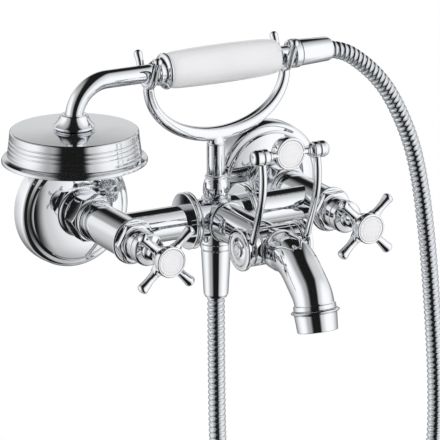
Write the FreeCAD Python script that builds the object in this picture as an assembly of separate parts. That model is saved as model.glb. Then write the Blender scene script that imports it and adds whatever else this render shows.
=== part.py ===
import FreeCAD, Part
import math
import os

os.makedirs("parts", exist_ok=True)

# A traditional two-handle bath mixer for an exposed wall supply, with a hand shower on a cradle.
# X runs along the wall, Y into the wall and Z up. The origin lies on the wall, midway between
# the two supplies, so "reach" is a distance out from the wall, towards -Y. All sizes are in mm.
V = FreeCAD.Vector
OUT = V(0, -1, 0)
RIGHT = V(1, 0, 0)
UP = V(0, 0, 1)

# Clearances
thread_gap = 0.1
running_gap = 0.05
face_gap = 0.4
soft_gap = 0.3

# Supply unions, with the wall thread and the mixer thread
inlet_spacing = 150.0
stud_radius = 10.48
stud_length = 15.0
union_bore = 7.0
union_thread_radius = 13.2
union_thread_start = 14.0
union_reach = 32.0
washer_thickness = 1.5

# Rosettes, pressed brass covers over the wall fittings
rosette_radius = 40.6
rosette_lip = 2.2
rosette_shoulder_radius = 35.7
rosette_shoulder_reach = 14.5
rosette_face_radius = 20.0
rosette_face_reach = 19.2
rosette_crown = 0.5
rosette_reach = 26.0
rosette_wall = 1.4

# Union nuts
nut_flats = 29.0
nut_length = 13.0
nut_neck_length = 2.0

# Mixer body: the crossbar, its two valve sleeves and the middle fitting
bar_reach = 71.0
bar_radius = 11.4
bar_bore = 7.0
sleeve_radius = 13.4
sleeve_end_reach = 94.0
tail_radius = 11.0
tail_flange = 2.4
tail_bead_radius = 13.9
tail_bead_length = 2.4
seat_bore = 10.0
seat_depth = 18.0
waterway_bore = 8.0
bar_ring_radius = 19.2
bar_ring_spacing = 43.0
bar_ring_width = 5.6
bar_ring_groove = 2.0
middle_radius = 12.9
boss_radius = 12.8
front_boss_length = 15.0
front_boss_reach = bar_reach + front_boss_length
top_boss_height = 13.4
bottom_boss_depth = 17.6
bottom_boss_radius = 11.0

# Ceramic headworks, their bonnets and the cross handles
headwork_nose_radius = 6.5
spindle_radius = 4.0
spindle_depth = 10.0
bonnet_radius = 15.4
bonnet_flange = 1.8
bonnet_flats = 25.6
bonnet_hexagon = 5.8
bonnet_neck_radius = 10.6
bonnet_neck_length = 8.8
handle_ring_radius = 10.9
handle_ring_length = 6.4
handle_waist_radius = 5.4
handle_stem_length = 5.3
handle_flare_length = 14.0
plate_thickness = 7.0
hub_half_width = 9.6
hub_hollow = 1.2
arm_tip_reach = 26.8
arm_neck_radius = 2.6
arm_tip_radius = 3.4
bezel_radius = 10.4
bezel_length = 4.0
bezel_lip = 0.9
disc_thickness = 2.6
disc_crown = 0.8
handle_screw_head = 4.6
handle_screw_shank = 2.0
screw_pocket_radius = 6.6
screw_pocket_depth = 9.0

# Diverter on the front of the body, worked by a stirrup lever
arm_root_ring_radius = 13.8
arm_root_ring_length = 3.0
arm_radius = 13.0
outlet_spigot = 8.4
diverter_reach = 144.4
diverter_drum_radius = 12.2
diverter_drum_width = 24.8
drum_groove = 0.8
diverter_half_width = 17.6
rotor_radius = 8.4
rotor_width = 18.0
lever_ring_radius = 12.7
lever_ring_width = 4.5
lever_cap_radius = 9.9
lever_cap_width = 2.6
lever_bar_reach = 168.0
lever_bar_height = 67.6
lever_bar_radius = 2.1
lever_leg_radius = 1.9
lever_knee_reach = 170.8
lever_knee_height = 46.0
lever_knee_bend = 50.0
lever_barrel_radius = 5.4
lever_barrel_length = 14.6
lever_barrel_groove = 0.7
knob_radius = 10.8
knob_length = 8.0

# Spout
spout_root_reach = 157.4
spout_root_ring_radius = 13.5
spout_radius = 13.0
spout_wall = 2.2
spout_straight = 18.6
spout_fall_out = 23.4
spout_fall = 20.0
spout_tip_slope = 75.0
spout_tip_run = 5.9
spout_root_bend = 29.0
spout_tip_bend = 18.0
tip_collar_radius = 13.9
tip_collar_length = 2.2
tip_bead_radius = 15.1
tip_bead_length = 2.2
nozzle_top_radius = 14.1
nozzle_mouth_radius = 13.2
nozzle_length = 12.0
nozzle_wall = 1.3
aerator_thickness = 3.0
aerator_recess = 1.2
aerator_hole_radius = 0.9
aerator_ring_radii = (0.0, 4.2, 8.2)
aerator_ring_counts = (1, 6, 11)

# Riser column and cradle
riser_radius = 6.7
riser_foot_radius = 9.2
riser_foot_height = 3.6
riser_bead_height = 12.8
riser_bead_radius = 7.2
riser_top_height = 50.4
riser_spigot_length = 8.0
dowel_radius = 3.0
dowel_length = 9.0
yoke_centre = 0.6
yoke_half_span = 51.5
yoke_inner_height = 95.0
yoke_inner_drop = 34.5
yoke_strap = 5.4
yoke_bottom_strap = 8.2
yoke_depth = 8.0
yoke_edge = 1.2
fork_wire_radius = 2.35
fork_bulb = 0.35
fork_slope = 20.0
fork_tip_height = 12.6

# Hand shower
handset_height = 105.0
journal_radius = 6.0
journal_length = 9.0
ferrule_radius = 11.6
ferrule_bead = 2.6
ferrule_end_radius = 7.9
ferrule_socket = 3.4
rear_flange_radius = 9.8
rear_flange_length = 5.4
grip_shift = 4.0
grip_length = 81.8
grip_end_radius = 11.2
grip_mid_radius = 12.9
grip_bore = 6.6
stay_radius = 6.5
neck_wall = 1.0
neck_bend_radius = 24.0
head_offset = 105.4
head_top_height = 74.2
head_top_radius = 42.2
head_side_radius = 43.6
head_rim_radius = 47.8
head_rim_height = 53.0
head_rim_lip = 3.4
head_wall = 1.6
head_ribs = 4
head_rib_pitch = 2.9
head_rib_depth = 0.5
head_crown = 1.0
cone_nut_radius = 13.9
cone_nut_top_radius = 9.1
cone_nut_height = 9.6
cone_nut_foot = 1.2
spray_plate_thickness = 2.4
spray_plate_recess = 1.6
nozzle_bump_radius = 1.5
nozzle_bump_length = 1.6
nozzle_rings = ((0.0, 1), (11.0, 6), (22.0, 12), (33.0, 18))

# Hose, its two conical nuts and the tie that holds its spare loop
hose_radius = 5.7
hose_valley = 0.6
hose_bore = 3.9
rib_pitch = 5.6
supply_nut_radius = 10.1
supply_nut_small_radius = 8.4
supply_nut_length = 34.0
nut_chamfer = 2.2
nut_mouth_depth = 4.0
nipple_radius = 8.0
nipple_spigot = 5.6
nipple_collar_radius = 10.7
nipple_collar_length = 4.5
hand_nut_radius = 9.1
hand_nut_small_radius = 8.0
hand_nut_length = 24.8
hand_nipple_radius = 7.0
loop_radius = 66.0
loop_pitch = 12.6
loop_turns = 1.5
loop_centre = V(90.0, -bar_reach, -272.0)
loop_lead = 25.0
tie_thickness = 1.2
tie_width = 12.0
tie_gap = 0.5

# Routes of the hose's two free stretches, as points chosen by hand: from below the supply nut, and
# from the hand shower's nut. Each goes on to the loop along the loop's own direction.
supply_route = [
    V(0.3, -71.0, -116.0),
    V(1.8, -70.4, -174.0),
    V(9.5, -66.5, -207.0),
]
handset_route = [
    V(84.9, -71.0, 105.0),
    V(96.6, -71.0, 103.0),
    V(110.6, -71.0, 94.2),
    V(125.9, -71.1, 80.4),
    V(138.0, -71.3, 64.0),
    V(152.3, -71.8, 34.0),
    V(160.4, -72.6, 2.5),
    V(166.8, -74.0, -45.5),
    V(170.9, -75.8, -99.6),
    V(173.6, -77.4, -150.0),
    V(172.4, -79.0, -196.0),
    V(164.5, -80.0, -223.0),
]


def save(name, shape):
    """Writes one sub-part as parts/NAME.step."""
    if not shape.isValid():
        print("not valid:", name)
    shape.exportStep(os.path.join("parts", name + ".step"))


def side_of(axis):
    """A direction square to an axis, used to lay out a turned profile."""
    return RIGHT if abs(axis.dot(UP)) > 0.9 else UP


def turned(profile, base, axis):
    """A solid of revolution. Each profile entry is (radius, station), or (radius, station, middle
    radius, middle station) for a corner that is reached along an arc through its middle point."""
    side = side_of(axis)

    def at(radius, station):
        return base + side * radius + axis * station

    edges = []
    last = at(*profile[-1][:2])
    for corner in profile:
        here = at(*corner[:2])
        if len(corner) == 4:
            edges.append(Part.Arc(last, at(*corner[2:]), here).toShape())
        elif here.distanceToPoint(last) > 1e-6:
            edges.append(Part.makeLine(last, here))
        last = here
    solid = Part.Face(Part.Wire(edges)).revolve(base, axis, 360)
    if solid.Volume < 0:
        solid.reverse()
    return solid


def dome(radius, edge, top):
    """The last corner of a turned profile whose end is a shallow spherical dome."""
    height = top - edge
    ball = (radius * radius + height * height) / (2 * abs(height))
    drop = ball - math.sqrt(ball * ball - radius * radius / 4)
    return (0, top, radius / 2, top - math.copysign(drop, height))


def rod(radius, start, end):
    """A round bar between two points."""
    run = end - start
    return Part.makeCylinder(radius, run.Length, start, run)


def tube(radius, bore, start, end):
    """A round bar with a bore all the way through."""
    return rod(radius, start, end).cut(rod(bore, start, end))


def smooth_path(points, radii=None):
    """Straight runs joined by tangent arcs. Without radii, each arc takes 0.45 of the shorter run
    beside it, as a hose does, and the radii are returned with the wire."""
    edges = []
    used = []
    last = points[0]
    for i in range(1, len(points) - 1):
        before = points[i] - points[i - 1]
        after = points[i + 1] - points[i]
        half_turn = before.getAngle(after) / 2
        if radii:
            radius = radii[i - 1]
        else:
            radius = 0.45 * min(before.Length, after.Length) / math.tan(half_turn)
        used.append(radius)
        leg = radius * math.tan(half_turn)
        start = points[i] - before.normalize() * leg
        end = points[i] + after.normalize() * leg
        inward = (after - before).normalize()
        middle = points[i] + inward * (radius / math.cos(half_turn) - radius)
        edges.append(Part.makeLine(last, start))
        edges.append(Part.Arc(start, middle, end).toShape())
        last = end
    edges.append(Part.makeLine(last, points[-1]))
    return Part.Wire(edges), used


def swept(path, radius):
    """A round section carried along a wire."""
    first = path.Edges[0]
    start = first.valueAt(first.FirstParameter)
    heading = first.tangentAt(first.FirstParameter)
    section = Part.Wire(Part.makeCircle(radius, start, heading))
    solid = path.makePipeShell([section], True, False)
    if solid.Volume < 0:
        solid.reverse()
    return solid


def ring_at(point, heading, radius):
    """A circle square to a heading, with its X axis kept as near the Y direction as it can be,
    so that circles one after another don't twist."""
    steady = V(0, 1, 0) - heading * heading.y
    circle = Part.Circle(point, heading, radius)
    circle.XAxis = steady.normalize()
    return Part.Wire(circle.toShape())


def stations(path, spacing):
    """Points and headings along a wire, evenly spaced from end to end."""
    count = 4 * round(path.Length / spacing / 4)
    found = []
    for k in range(count + 1):
        left = path.Length * k / count
        for edge in path.Edges:
            if left <= edge.Length + 1e-7:
                break
            left -= edge.Length
        where = edge.getParameterByLength(min(left, edge.Length))
        found.append((edge.valueAt(where), edge.tangentAt(where)))
    return found


def ribbed(path):
    """A ribbed hose with its bore. Each rib goes through four circles: valley, crest, crest, valley,
    and it shares its last circle with the next rib. The two ends run plain for one diameter."""
    valley = hose_radius - hose_valley
    steps = stations(path, rib_pitch / 4)
    plain = math.ceil(hose_radius * 2 / (rib_pitch / 4))
    outside = []
    for k, (point, heading) in enumerate(steps):
        if k == 0 or k == len(steps) - 1:
            outside.append(ring_at(point, heading, hose_radius))
        elif plain <= k <= len(steps) - 1 - plain:
            phase = (k - plain) % 4
            if phase != 2:
                crest = phase in (1, 3)
                outside.append(ring_at(point, heading, hose_radius if crest else valley))
        elif k in (plain - 1, len(steps) - plain):
            outside.append(ring_at(point, heading, hose_radius))
    inside = [ring_at(point, heading, hose_bore) for point, heading in steps[::4]]
    skin = Part.makeLoft(outside, True, True)
    bore = Part.makeLoft(inside, True, True)
    return skin.cut(bore)


def biarc(start, start_heading, end, end_heading):
    """Two arcs in space that leave and arrive along the given headings."""
    gap = end - start
    total = start_heading + end_heading
    bend = 2 * (1 - start_heading.dot(end_heading))
    along = gap.dot(total)
    reach = (-along + math.sqrt(along * along + bend * gap.dot(gap))) / bend
    joint = ((start + start_heading * reach) + (end - end_heading * reach)) * 0.5
    edges = []
    for a, heading, b in ((start, start_heading, joint), (end, end_heading * -1, joint)):
        chord = b - a
        angle = heading.getAngle(chord)
        across = chord.normalize()
        bulge = (heading - across * heading.dot(across)).normalize()
        size = a.distanceToPoint(b) / 2
        middle = (a + b) * 0.5 + bulge * (size * math.tan(angle / 2))
        edges.append(Part.Arc(a, middle, b).toShape() if a is start else Part.Arc(b, middle, a).toShape())
    return edges


def loop_point(turn):
    """A point of the spare loop, which starts going down on its left side and winds outwards."""
    angle = math.pi + turn * 2 * math.pi
    across = V(math.cos(angle), 0, math.sin(angle)) * loop_radius
    return loop_centre + across + OUT * (loop_pitch * (turn - loop_turns / 2))


def loop_heading(turn):
    """The hose's direction at a point of the loop."""
    angle = math.pi + turn * 2 * math.pi
    way = V(-math.sin(angle), 0, math.cos(angle)) * (2 * math.pi * loop_radius)
    return (way + OUT * loop_pitch).normalize()


# Wall side: a threaded union, its rosette, union nut and washer on each supply
def supply_union(x):
    """A brass connector, threaded into the wall fitting and carrying the mixer's union nut."""
    base = V(x, 0, 0)
    body = turned(
        [
            (union_bore, -stud_length),
            (stud_radius - 1.0, -stud_length),
            (stud_radius, 1.0 - stud_length),
            (stud_radius, 0),
            (stud_radius + 1.5, 0),
            (stud_radius + 1.5, union_thread_start),
            (union_thread_radius, union_thread_start),
            (union_thread_radius, union_reach),
            (union_bore, union_reach),
        ],
        base,
        OUT,
    )
    return body


def rosette(x):
    """A thin pressed bell: a rounded side, a small shoulder, a shallow dome and a cove at the neck."""
    neck = union_thread_radius + thread_gap
    wall = rosette_wall
    side_radius = (rosette_radius + rosette_shoulder_radius) / 2 + 1.3
    side_reach = (rosette_lip + rosette_shoulder_reach) / 2 + 1.0
    face_radius = (rosette_shoulder_radius + rosette_face_radius) / 2
    face_reach = (rosette_shoulder_reach + rosette_face_reach) / 2 + rosette_crown
    throat = neck + 2.0
    hollow_radius = (rosette_face_radius + throat) / 2 - 1.0
    hollow_reach = (rosette_face_reach + rosette_reach) / 2 - 0.7
    inner_shoulder = rosette_shoulder_radius - wall - 0.8
    inner_face = rosette_face_radius - wall / 2
    return turned(
        [
            (rosette_radius - wall, 0),
            (rosette_radius, 0),
            (rosette_radius, rosette_lip),
            (rosette_shoulder_radius, rosette_shoulder_reach, side_radius, side_reach),
            (rosette_shoulder_radius - 0.8, rosette_shoulder_reach + 0.9),
            (rosette_face_radius, rosette_face_reach, face_radius, face_reach),
            (throat, rosette_reach, hollow_radius, hollow_reach),
            (neck, rosette_reach),
            (neck, rosette_reach - wall),
            (neck + 0.6, rosette_reach - wall),
            (inner_face, rosette_face_reach - wall, hollow_radius - 1.0, hollow_reach - 1.0),
            (inner_shoulder, rosette_shoulder_reach, face_radius, face_reach - wall),
            (rosette_radius - wall, rosette_lip, side_radius - wall, side_reach - wall / 2),
        ],
        V(x, 0, 0),
        OUT,
    )


nut_back = rosette_reach + face_gap
nut_front = nut_back + nut_length
tail_start = union_reach + washer_thickness


def hexagon(x, flats, start, end):
    """A hexagonal bar along Y, with both its ends chamfered as a nut's are."""
    corner = flats / math.sqrt(3)
    angles = [math.radians(60 * k) for k in range(7)]
    ring = [V(x + corner * math.cos(a), -start, corner * math.sin(a)) for a in angles]
    bar = Part.Face(Part.makePolygon(ring)).extrude(OUT * (end - start))
    flat = flats / 2
    limit = turned(
        [
            (0, start),
            (flat + 0.4, start),
            (corner + 0.3, start + 1.4),
            (corner + 0.3, end - 1.4),
            (flat + 0.4, end),
            (0, end),
        ],
        V(x, 0, 0),
        OUT,
    )
    return bar.common(limit)


def union_nut(x):
    """A hexagon nut, whose inner shoulder draws up the mixer's flanged tail."""
    end = nut_front + nut_neck_length
    neck = rod(tail_bead_radius, V(x, -nut_front + 0.2, 0), V(x, -end, 0))
    bore = turned(
        [
            (0, nut_back - 1),
            (union_thread_radius + thread_gap, nut_back - 1),
            (union_thread_radius + thread_gap, tail_start + tail_flange + thread_gap),
            (tail_radius + thread_gap, tail_start + tail_flange + thread_gap),
            (tail_radius + thread_gap, end + 1),
            (0, end + 1),
        ],
        V(x, 0, 0),
        OUT,
    )
    return hexagon(x, nut_flats, nut_back, nut_front).fuse(neck).cut(bore).removeSplitter()


for side, x in (("left", -inlet_spacing / 2), ("right", inlet_spacing / 2)):
    save("supply_union_" + side, supply_union(x))
    save("rosette_" + side, rosette(x))
    save("union_nut_" + side, union_nut(x))
    washer = tube(union_thread_radius - thread_gap, union_bore, V(x, -union_reach, 0), V(x, -tail_start, 0))
    save("union_washer_" + side, washer)


# Mixer body: one casting with two tails, two valve sleeves, the crossbar and the middle fitting
sleeve_start = nut_front + nut_neck_length + thread_gap


def valve_sleeve(x):
    """The tail that the union nut draws up, a bead, and the sleeve that holds the headwork."""
    bead_end = sleeve_start + tail_bead_length
    return turned(
        [
            (0, tail_start),
            (union_thread_radius - thread_gap, tail_start),
            (union_thread_radius - thread_gap, tail_start + tail_flange),
            (tail_radius, tail_start + tail_flange),
            (tail_radius, sleeve_start),
            (tail_bead_radius - 0.8, sleeve_start),
            (tail_bead_radius - 0.8, bead_end, tail_bead_radius, (sleeve_start + bead_end) / 2),
            (sleeve_radius, bead_end),
            (sleeve_radius, sleeve_end_reach),
            (0, sleeve_end_reach),
        ],
        V(x, 0, 0),
        OUT,
    )


def bar_ring(x):
    """A pair of thin flanges with a groove between them, where the middle fitting meets the bar."""
    half = bar_ring_width / 2
    slot = bar_ring_groove / 2
    return turned(
        [
            (0, -half),
            (bar_ring_radius - 0.8, -half),
            (bar_ring_radius - 0.8, -slot, bar_ring_radius, (-half - slot) / 2),
            (bar_ring_radius - 2.0, 0, bar_ring_radius - 1.6, -slot / 2),
            (bar_ring_radius - 0.8, slot, bar_ring_radius - 1.6, slot / 2),
            (bar_ring_radius - 0.8, half, bar_ring_radius, (half + slot) / 2),
            (0, half),
        ],
        V(x, -bar_reach, 0),
        RIGHT,
    )


def middle_fitting():
    """The swelling between the two rings, with bosses up, down and to the front."""
    ring_face = (bar_ring_spacing - bar_ring_width) / 2
    core = turned(
        [
            (0, -ring_face - 0.5),
            (boss_radius, -ring_face - 0.5),
            (boss_radius, -ring_face),
            (boss_radius, ring_face, middle_radius, 0),
            (boss_radius, ring_face + 0.5),
            (0, ring_face + 0.5),
        ],
        V(0, -bar_reach, 0),
        RIGHT,
    )
    centre = V(0, -bar_reach, 0)
    front = rod(boss_radius, centre, V(0, -front_boss_reach, 0))
    top = rod(riser_foot_radius + 0.8, centre, centre + UP * top_boss_height)
    bottom = rod(bottom_boss_radius, centre, centre - UP * bottom_boss_depth)
    return core.fuse([front, top, bottom])


centre = V(0, -bar_reach, 0)
half_bar = inlet_spacing / 2
solid = middle_fitting().fuse(
    [
        rod(bar_radius, V(-half_bar, -bar_reach, 0), V(half_bar, -bar_reach, 0)),
        valve_sleeve(-half_bar),
        valve_sleeve(half_bar),
        bar_ring(-bar_ring_spacing / 2),
        bar_ring(bar_ring_spacing / 2),
    ]
)
seat_start = sleeve_end_reach - seat_depth
hollows = [rod(bar_bore, V(-half_bar, -bar_reach, 0), V(half_bar, -bar_reach, 0))]
for x in (-half_bar, half_bar):
    hollows.append(rod(waterway_bore, V(x, -tail_start + 1, 0), V(x, -seat_start - 1, 0)))
    hollows.append(rod(seat_bore, V(x, -seat_start, 0), V(x, -sleeve_end_reach - 1, 0)))
hollows.append(rod(bar_bore, centre, V(0, -front_boss_reach - 1, 0)))
hollows.append(rod(seat_bore, V(0, outlet_spigot - front_boss_reach, 0), V(0, -front_boss_reach - 1, 0)))
riser_seat = centre + UP * (top_boss_height - riser_spigot_length)
boss_top = centre + UP * (top_boss_height + 1)
boss_bottom = centre - UP * (bottom_boss_depth + 1)
hollows.append(rod(riser_radius - thread_gap, riser_seat, boss_top))
hollows.append(rod(nipple_radius, centre - UP * (bottom_boss_depth - nipple_spigot), boss_bottom))
hollows.append(rod(bar_bore - 2, boss_bottom, boss_top))
save("mixer_body", solid.cut(hollows).removeSplitter())


# Headworks, bonnets and cross handles, the same on both sides
bonnet_end = sleeve_end_reach + bonnet_flange + bonnet_hexagon + bonnet_neck_length
handle_start = bonnet_end + face_gap
handle_waist_reach = handle_start + handle_ring_length + handle_stem_length
flare_middle_reach = handle_waist_reach + handle_flare_length * 15 / 28
plate_reach = handle_waist_reach + handle_flare_length
plate_front = plate_reach + plate_thickness
pocket_start = plate_front - screw_pocket_depth
spindle_end = handle_start + handle_ring_length + 1.0


def headwork(x):
    """A ceramic disc cartridge: a round body in the sleeve and a threaded nose for the spindle."""
    body = turned(
        [
            (spindle_radius + running_gap, seat_start + 3.0),
            (spindle_radius - 1, seat_start + 3.0),
            (spindle_radius - 1, seat_start),
            (seat_bore - thread_gap - 1.0, seat_start),
            (seat_bore - thread_gap, seat_start + 1.0),
            (seat_bore - thread_gap, sleeve_end_reach),
            (headwork_nose_radius, sleeve_end_reach),
            (headwork_nose_radius, bonnet_end - 2.0),
            (spindle_radius + running_gap, bonnet_end - 2.0),
        ],
        V(x, 0, 0),
        OUT,
    )
    ports = rod(1.6, V(x - seat_bore, -seat_start - 6, 0), V(x + seat_bore, -seat_start - 6, 0))
    return body.cut(ports)


def bonnet(x):
    """The headwork's nut: a round flange, a hexagon and a slim neck, threaded on the nose."""
    flange_end = sleeve_end_reach + bonnet_flange
    hexagon_end = flange_end + bonnet_hexagon
    flange = turned(
        [
            (0, sleeve_end_reach),
            (bonnet_radius - 0.5, sleeve_end_reach),
            (bonnet_radius, sleeve_end_reach + 0.5),
            (bonnet_radius, flange_end - 0.7),
            (bonnet_radius - 0.9, flange_end),
            (0, flange_end),
        ],
        V(x, 0, 0),
        OUT,
    )
    neck = turned(
        [
            (0, hexagon_end - 1.0),
            (bonnet_neck_radius + 0.8, hexagon_end - 1.0),
            (bonnet_neck_radius + 0.8, hexagon_end),
            (bonnet_neck_radius, hexagon_end + 0.9, bonnet_neck_radius + 0.2, hexagon_end + 0.3),
            (bonnet_neck_radius, bonnet_end - 0.3),
            (bonnet_neck_radius - 0.3, bonnet_end),
            (0, bonnet_end),
        ],
        V(x, 0, 0),
        OUT,
    )
    bore = rod(headwork_nose_radius + thread_gap, V(x, -sleeve_end_reach + 1, 0), V(x, -bonnet_end - 1, 0))
    nut = hexagon(x, bonnet_flats, flange_end - 1.4, hexagon_end)
    return flange.fuse([nut, neck]).cut(bore).removeSplitter()


def spindle(x):
    """The headwork's spindle, with a flat-sided key that the ceramic disc takes."""
    body = rod(spindle_radius, V(x, -seat_start - 3.2, 0), V(x, -spindle_end, 0))
    hole = rod(handle_screw_shank - thread_gap / 2, V(x, 9 - spindle_end, 0), V(x, -spindle_end - 1, 0))
    return body.cut(hole)


def cross_plate(x):
    """The cross: a square hub with slightly hollow sides, and a round-ended arm at each corner."""
    half = hub_half_width
    outline = []
    corners = [V(x + half * a, -plate_reach, half * b) for a, b in ((-1, -1), (1, -1), (1, 1), (-1, 1))]
    hollow = half - hub_hollow
    middles = [V(x + hollow * a, -plate_reach, hollow * b) for a, b in ((0, -1), (1, 0), (0, 1), (-1, 0))]
    for k in range(4):
        outline.append(Part.Arc(corners[k], middles[k], corners[(k + 1) % 4]).toShape())
    plate = Part.Face(Part.Wire(outline)).extrude(OUT * plate_thickness)
    middle = V(x, -plate_reach - plate_thickness / 2, 0)
    corner = hub_half_width * math.sqrt(2)
    tip = arm_tip_reach
    shoulder = tip - arm_tip_radius
    flare = (corner + shoulder) / 2 + 1.5
    round_radius = arm_tip_radius / math.sqrt(2)
    for k in range(4):
        angle = math.radians(45 + 90 * k)
        way = V(math.cos(angle), 0, math.sin(angle))
        arm = turned(
            [
                (0, hub_half_width - 2),
                (arm_neck_radius + 0.7, hub_half_width - 2),
                (arm_neck_radius, corner + 2, arm_neck_radius + 0.1, corner),
                (arm_tip_radius, shoulder, arm_neck_radius + 0.25, flare),
                (arm_tip_radius - 2.4, tip, round_radius + 0.2, shoulder + round_radius + 0.2),
                (0, tip),
            ],
            middle,
            way,
        )
        plate = plate.fuse(arm)
    return plate


def cross_handle(x):
    """The handle's hub and cross: a ring, a waisted stem that opens like a trumpet, and the cross."""
    ring_end = handle_start + handle_ring_length
    hub = turned(
        [
            (0, handle_start),
            (handle_ring_radius - 0.5, handle_start),
            (handle_ring_radius, handle_start + 0.5),
            (handle_ring_radius, ring_end - 1.0),
            (handle_ring_radius - 1.0, ring_end),
            (handle_waist_radius + 0.8, ring_end + 1.2),
            (handle_waist_radius, handle_waist_reach, handle_waist_radius + 0.1, ring_end + 2.6),
            (hub_half_width - 1.0, plate_reach, handle_waist_radius + 0.6, flare_middle_reach),
            (hub_half_width - 1.0, plate_reach + 1.0),
            (0, plate_reach + 1.0),
        ],
        V(x, 0, 0),
        OUT,
    )
    solid = cross_plate(x).fuse(hub)
    return solid.cut(
        [
            rod(spindle_radius + thread_gap, V(x, -handle_start + 1, 0), V(x, -spindle_end, 0)),
            rod(handle_screw_shank + thread_gap, V(x, -handle_start, 0), V(x, -plate_front - 1, 0)),
            rod(screw_pocket_radius, V(x, -pocket_start, 0), V(x, -plate_front - 1, 0)),
        ]
    ).removeSplitter()


def bezel(centre, radius, plug_radius, plug_length, length, axis):
    """A shallow turned cup that holds a porcelain disc and plugs into its seat behind."""
    return turned(
        [
            (0, -plug_length),
            (plug_radius, -plug_length),
            (plug_radius, 0),
            (radius, 0),
            (radius, length - 0.5),
            (radius - 0.5, length, radius - 0.15, length - 0.15),
            (radius - bezel_lip, length),
            (radius - bezel_lip, length - disc_thickness + disc_crown),
            (0, length - disc_thickness + disc_crown),
        ],
        centre,
        axis,
    )


def porcelain_disc(centre, radius, length, axis):
    """A glazed disc with a slightly crowned face, bonded into its bezel."""
    rim = radius - bezel_lip - running_gap
    back = length - disc_thickness + disc_crown
    front = length + disc_crown
    return turned(
        [
            (0, back),
            (rim, back),
            (rim, length - 0.1),
            (rim - 0.5, length + 0.2, rim - 0.15, length + 0.12),
            dome(rim - 0.5, length + 0.2, front),
        ],
        centre,
        axis,
    )


for side, x in (("left", -half_bar), ("right", half_bar)):
    save("headwork_" + side, headwork(x))
    save("bonnet_" + side, bonnet(x))
    save("spindle_" + side, spindle(x))
    save("cross_handle_" + side, cross_handle(x))
    screw = turned(
        [
            (0, spindle_end - 7),
            (handle_screw_shank - thread_gap, spindle_end - 7),
            (handle_screw_shank - thread_gap, pocket_start),
            (handle_screw_head, pocket_start),
            (handle_screw_head, pocket_start + 1.4),
            dome(handle_screw_head, pocket_start + 1.4, pocket_start + 2.6),
        ],
        V(x, 0, 0),
        OUT,
    )
    save("handle_screw_" + side, screw)
    front = V(x, -plate_front, 0)
    plug = screw_pocket_depth - 3.4
    pocket_fit = screw_pocket_radius - thread_gap
    save("handle_bezel_" + side, bezel(front, bezel_radius, pocket_fit, plug, bezel_length, OUT))
    save("handle_disc_" + side, porcelain_disc(front, bezel_radius, bezel_length, OUT))


# Diverter: a body on the front boss with a cross drum, and the rotor that the lever turns
axle = V(0, -diverter_reach, 0)
drum_half = diverter_drum_width / 2


def diverter_body():
    """A short arm from the mixer body to a drum that lies along X and carries spout and lever."""
    arm = turned(
        [
            (0, front_boss_reach - outlet_spigot + 0.4),
            (seat_bore - thread_gap, front_boss_reach - outlet_spigot + 0.4),
            (seat_bore - thread_gap, front_boss_reach),
            (arm_root_ring_radius - 0.6, front_boss_reach),
            (
                arm_root_ring_radius - 0.6,
                front_boss_reach + arm_root_ring_length,
                arm_root_ring_radius,
                front_boss_reach + arm_root_ring_length / 2,
            ),
            (arm_radius, front_boss_reach + arm_root_ring_length),
            (arm_radius, diverter_reach - drum_half + 1.0),
            (arm_radius - 1.6, diverter_reach - 4, arm_radius - 0.5, diverter_reach - 8),
            (0, diverter_reach - 4),
        ],
        V(0, 0, 0),
        OUT,
    )
    groove_inner = drum_half - drum_groove
    groove_outer = drum_half + drum_groove
    floor = diverter_drum_radius - drum_groove
    drum = turned(
        [
            (0, -diverter_half_width),
            (diverter_drum_radius - 0.4, -diverter_half_width),
            (diverter_drum_radius, 0.4 - diverter_half_width),
            (diverter_drum_radius, -groove_outer),
            (floor, -drum_half),
            (diverter_drum_radius, -groove_inner),
            (diverter_drum_radius, groove_inner),
            (floor, drum_half),
            (diverter_drum_radius, groove_outer),
            (diverter_drum_radius, diverter_half_width - 0.4),
            (diverter_drum_radius - 0.4, diverter_half_width),
            (0, diverter_half_width),
        ],
        axle,
        RIGHT,
    )
    outlet = turned(
        [
            (0, 0),
            (diverter_drum_radius - 0.4, 0),
            (diverter_drum_radius - 0.4, spout_root_reach - diverter_reach - 2.0),
            (spout_root_ring_radius, spout_root_reach - diverter_reach - 1.4),
            (spout_root_ring_radius, spout_root_reach - diverter_reach),
            (0, spout_root_reach - diverter_reach),
        ],
        axle,
        OUT,
    )
    hollows = [
        rod(bar_bore, V(0, -front_boss_reach + 10, 0), axle),
        rod(rotor_radius + running_gap, axle - RIGHT * 30, axle + RIGHT * 30),
        rod(bar_bore, axle, V(0, -spout_root_reach - 1, 0)),
    ]
    return arm.fuse([drum, outlet]).cut(hollows).removeSplitter()


save("diverter_body", diverter_body())

ring_inner = diverter_half_width + face_gap
ring_outer = ring_inner + lever_ring_width
half_axle = ring_outer - 0.4
rotor = turned(
    [
        (0, -half_axle),
        (spindle_radius, -half_axle),
        (spindle_radius, -rotor_width / 2),
        (rotor_radius, -rotor_width / 2),
        (rotor_radius, rotor_width / 2),
        (spindle_radius, rotor_width / 2),
        (spindle_radius, half_axle),
        (0, half_axle),
    ],
    axle,
    RIGHT,
)
port = rod(5.0, axle + OUT * -20, axle + OUT * 20)
tapped = []
for way in (-1, 1):
    tap_start = axle + RIGHT * (way * (half_axle - 9))
    tap_end = axle + RIGHT * (way * (half_axle + 1))
    tapped.append(rod(1.9, tap_start, tap_end))
save("diverter_rotor", rotor.cut([port] + tapped))

glands = []
for way in (-1, 1):
    inner = axle + RIGHT * (way * (rotor_width / 2 + thread_gap))
    outer = axle + RIGHT * (way * diverter_half_width)
    glands.append(tube(rotor_radius - thread_gap / 2, spindle_radius + running_gap, inner, outer))
save("diverter_glands", Part.makeCompound(glands))


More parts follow.
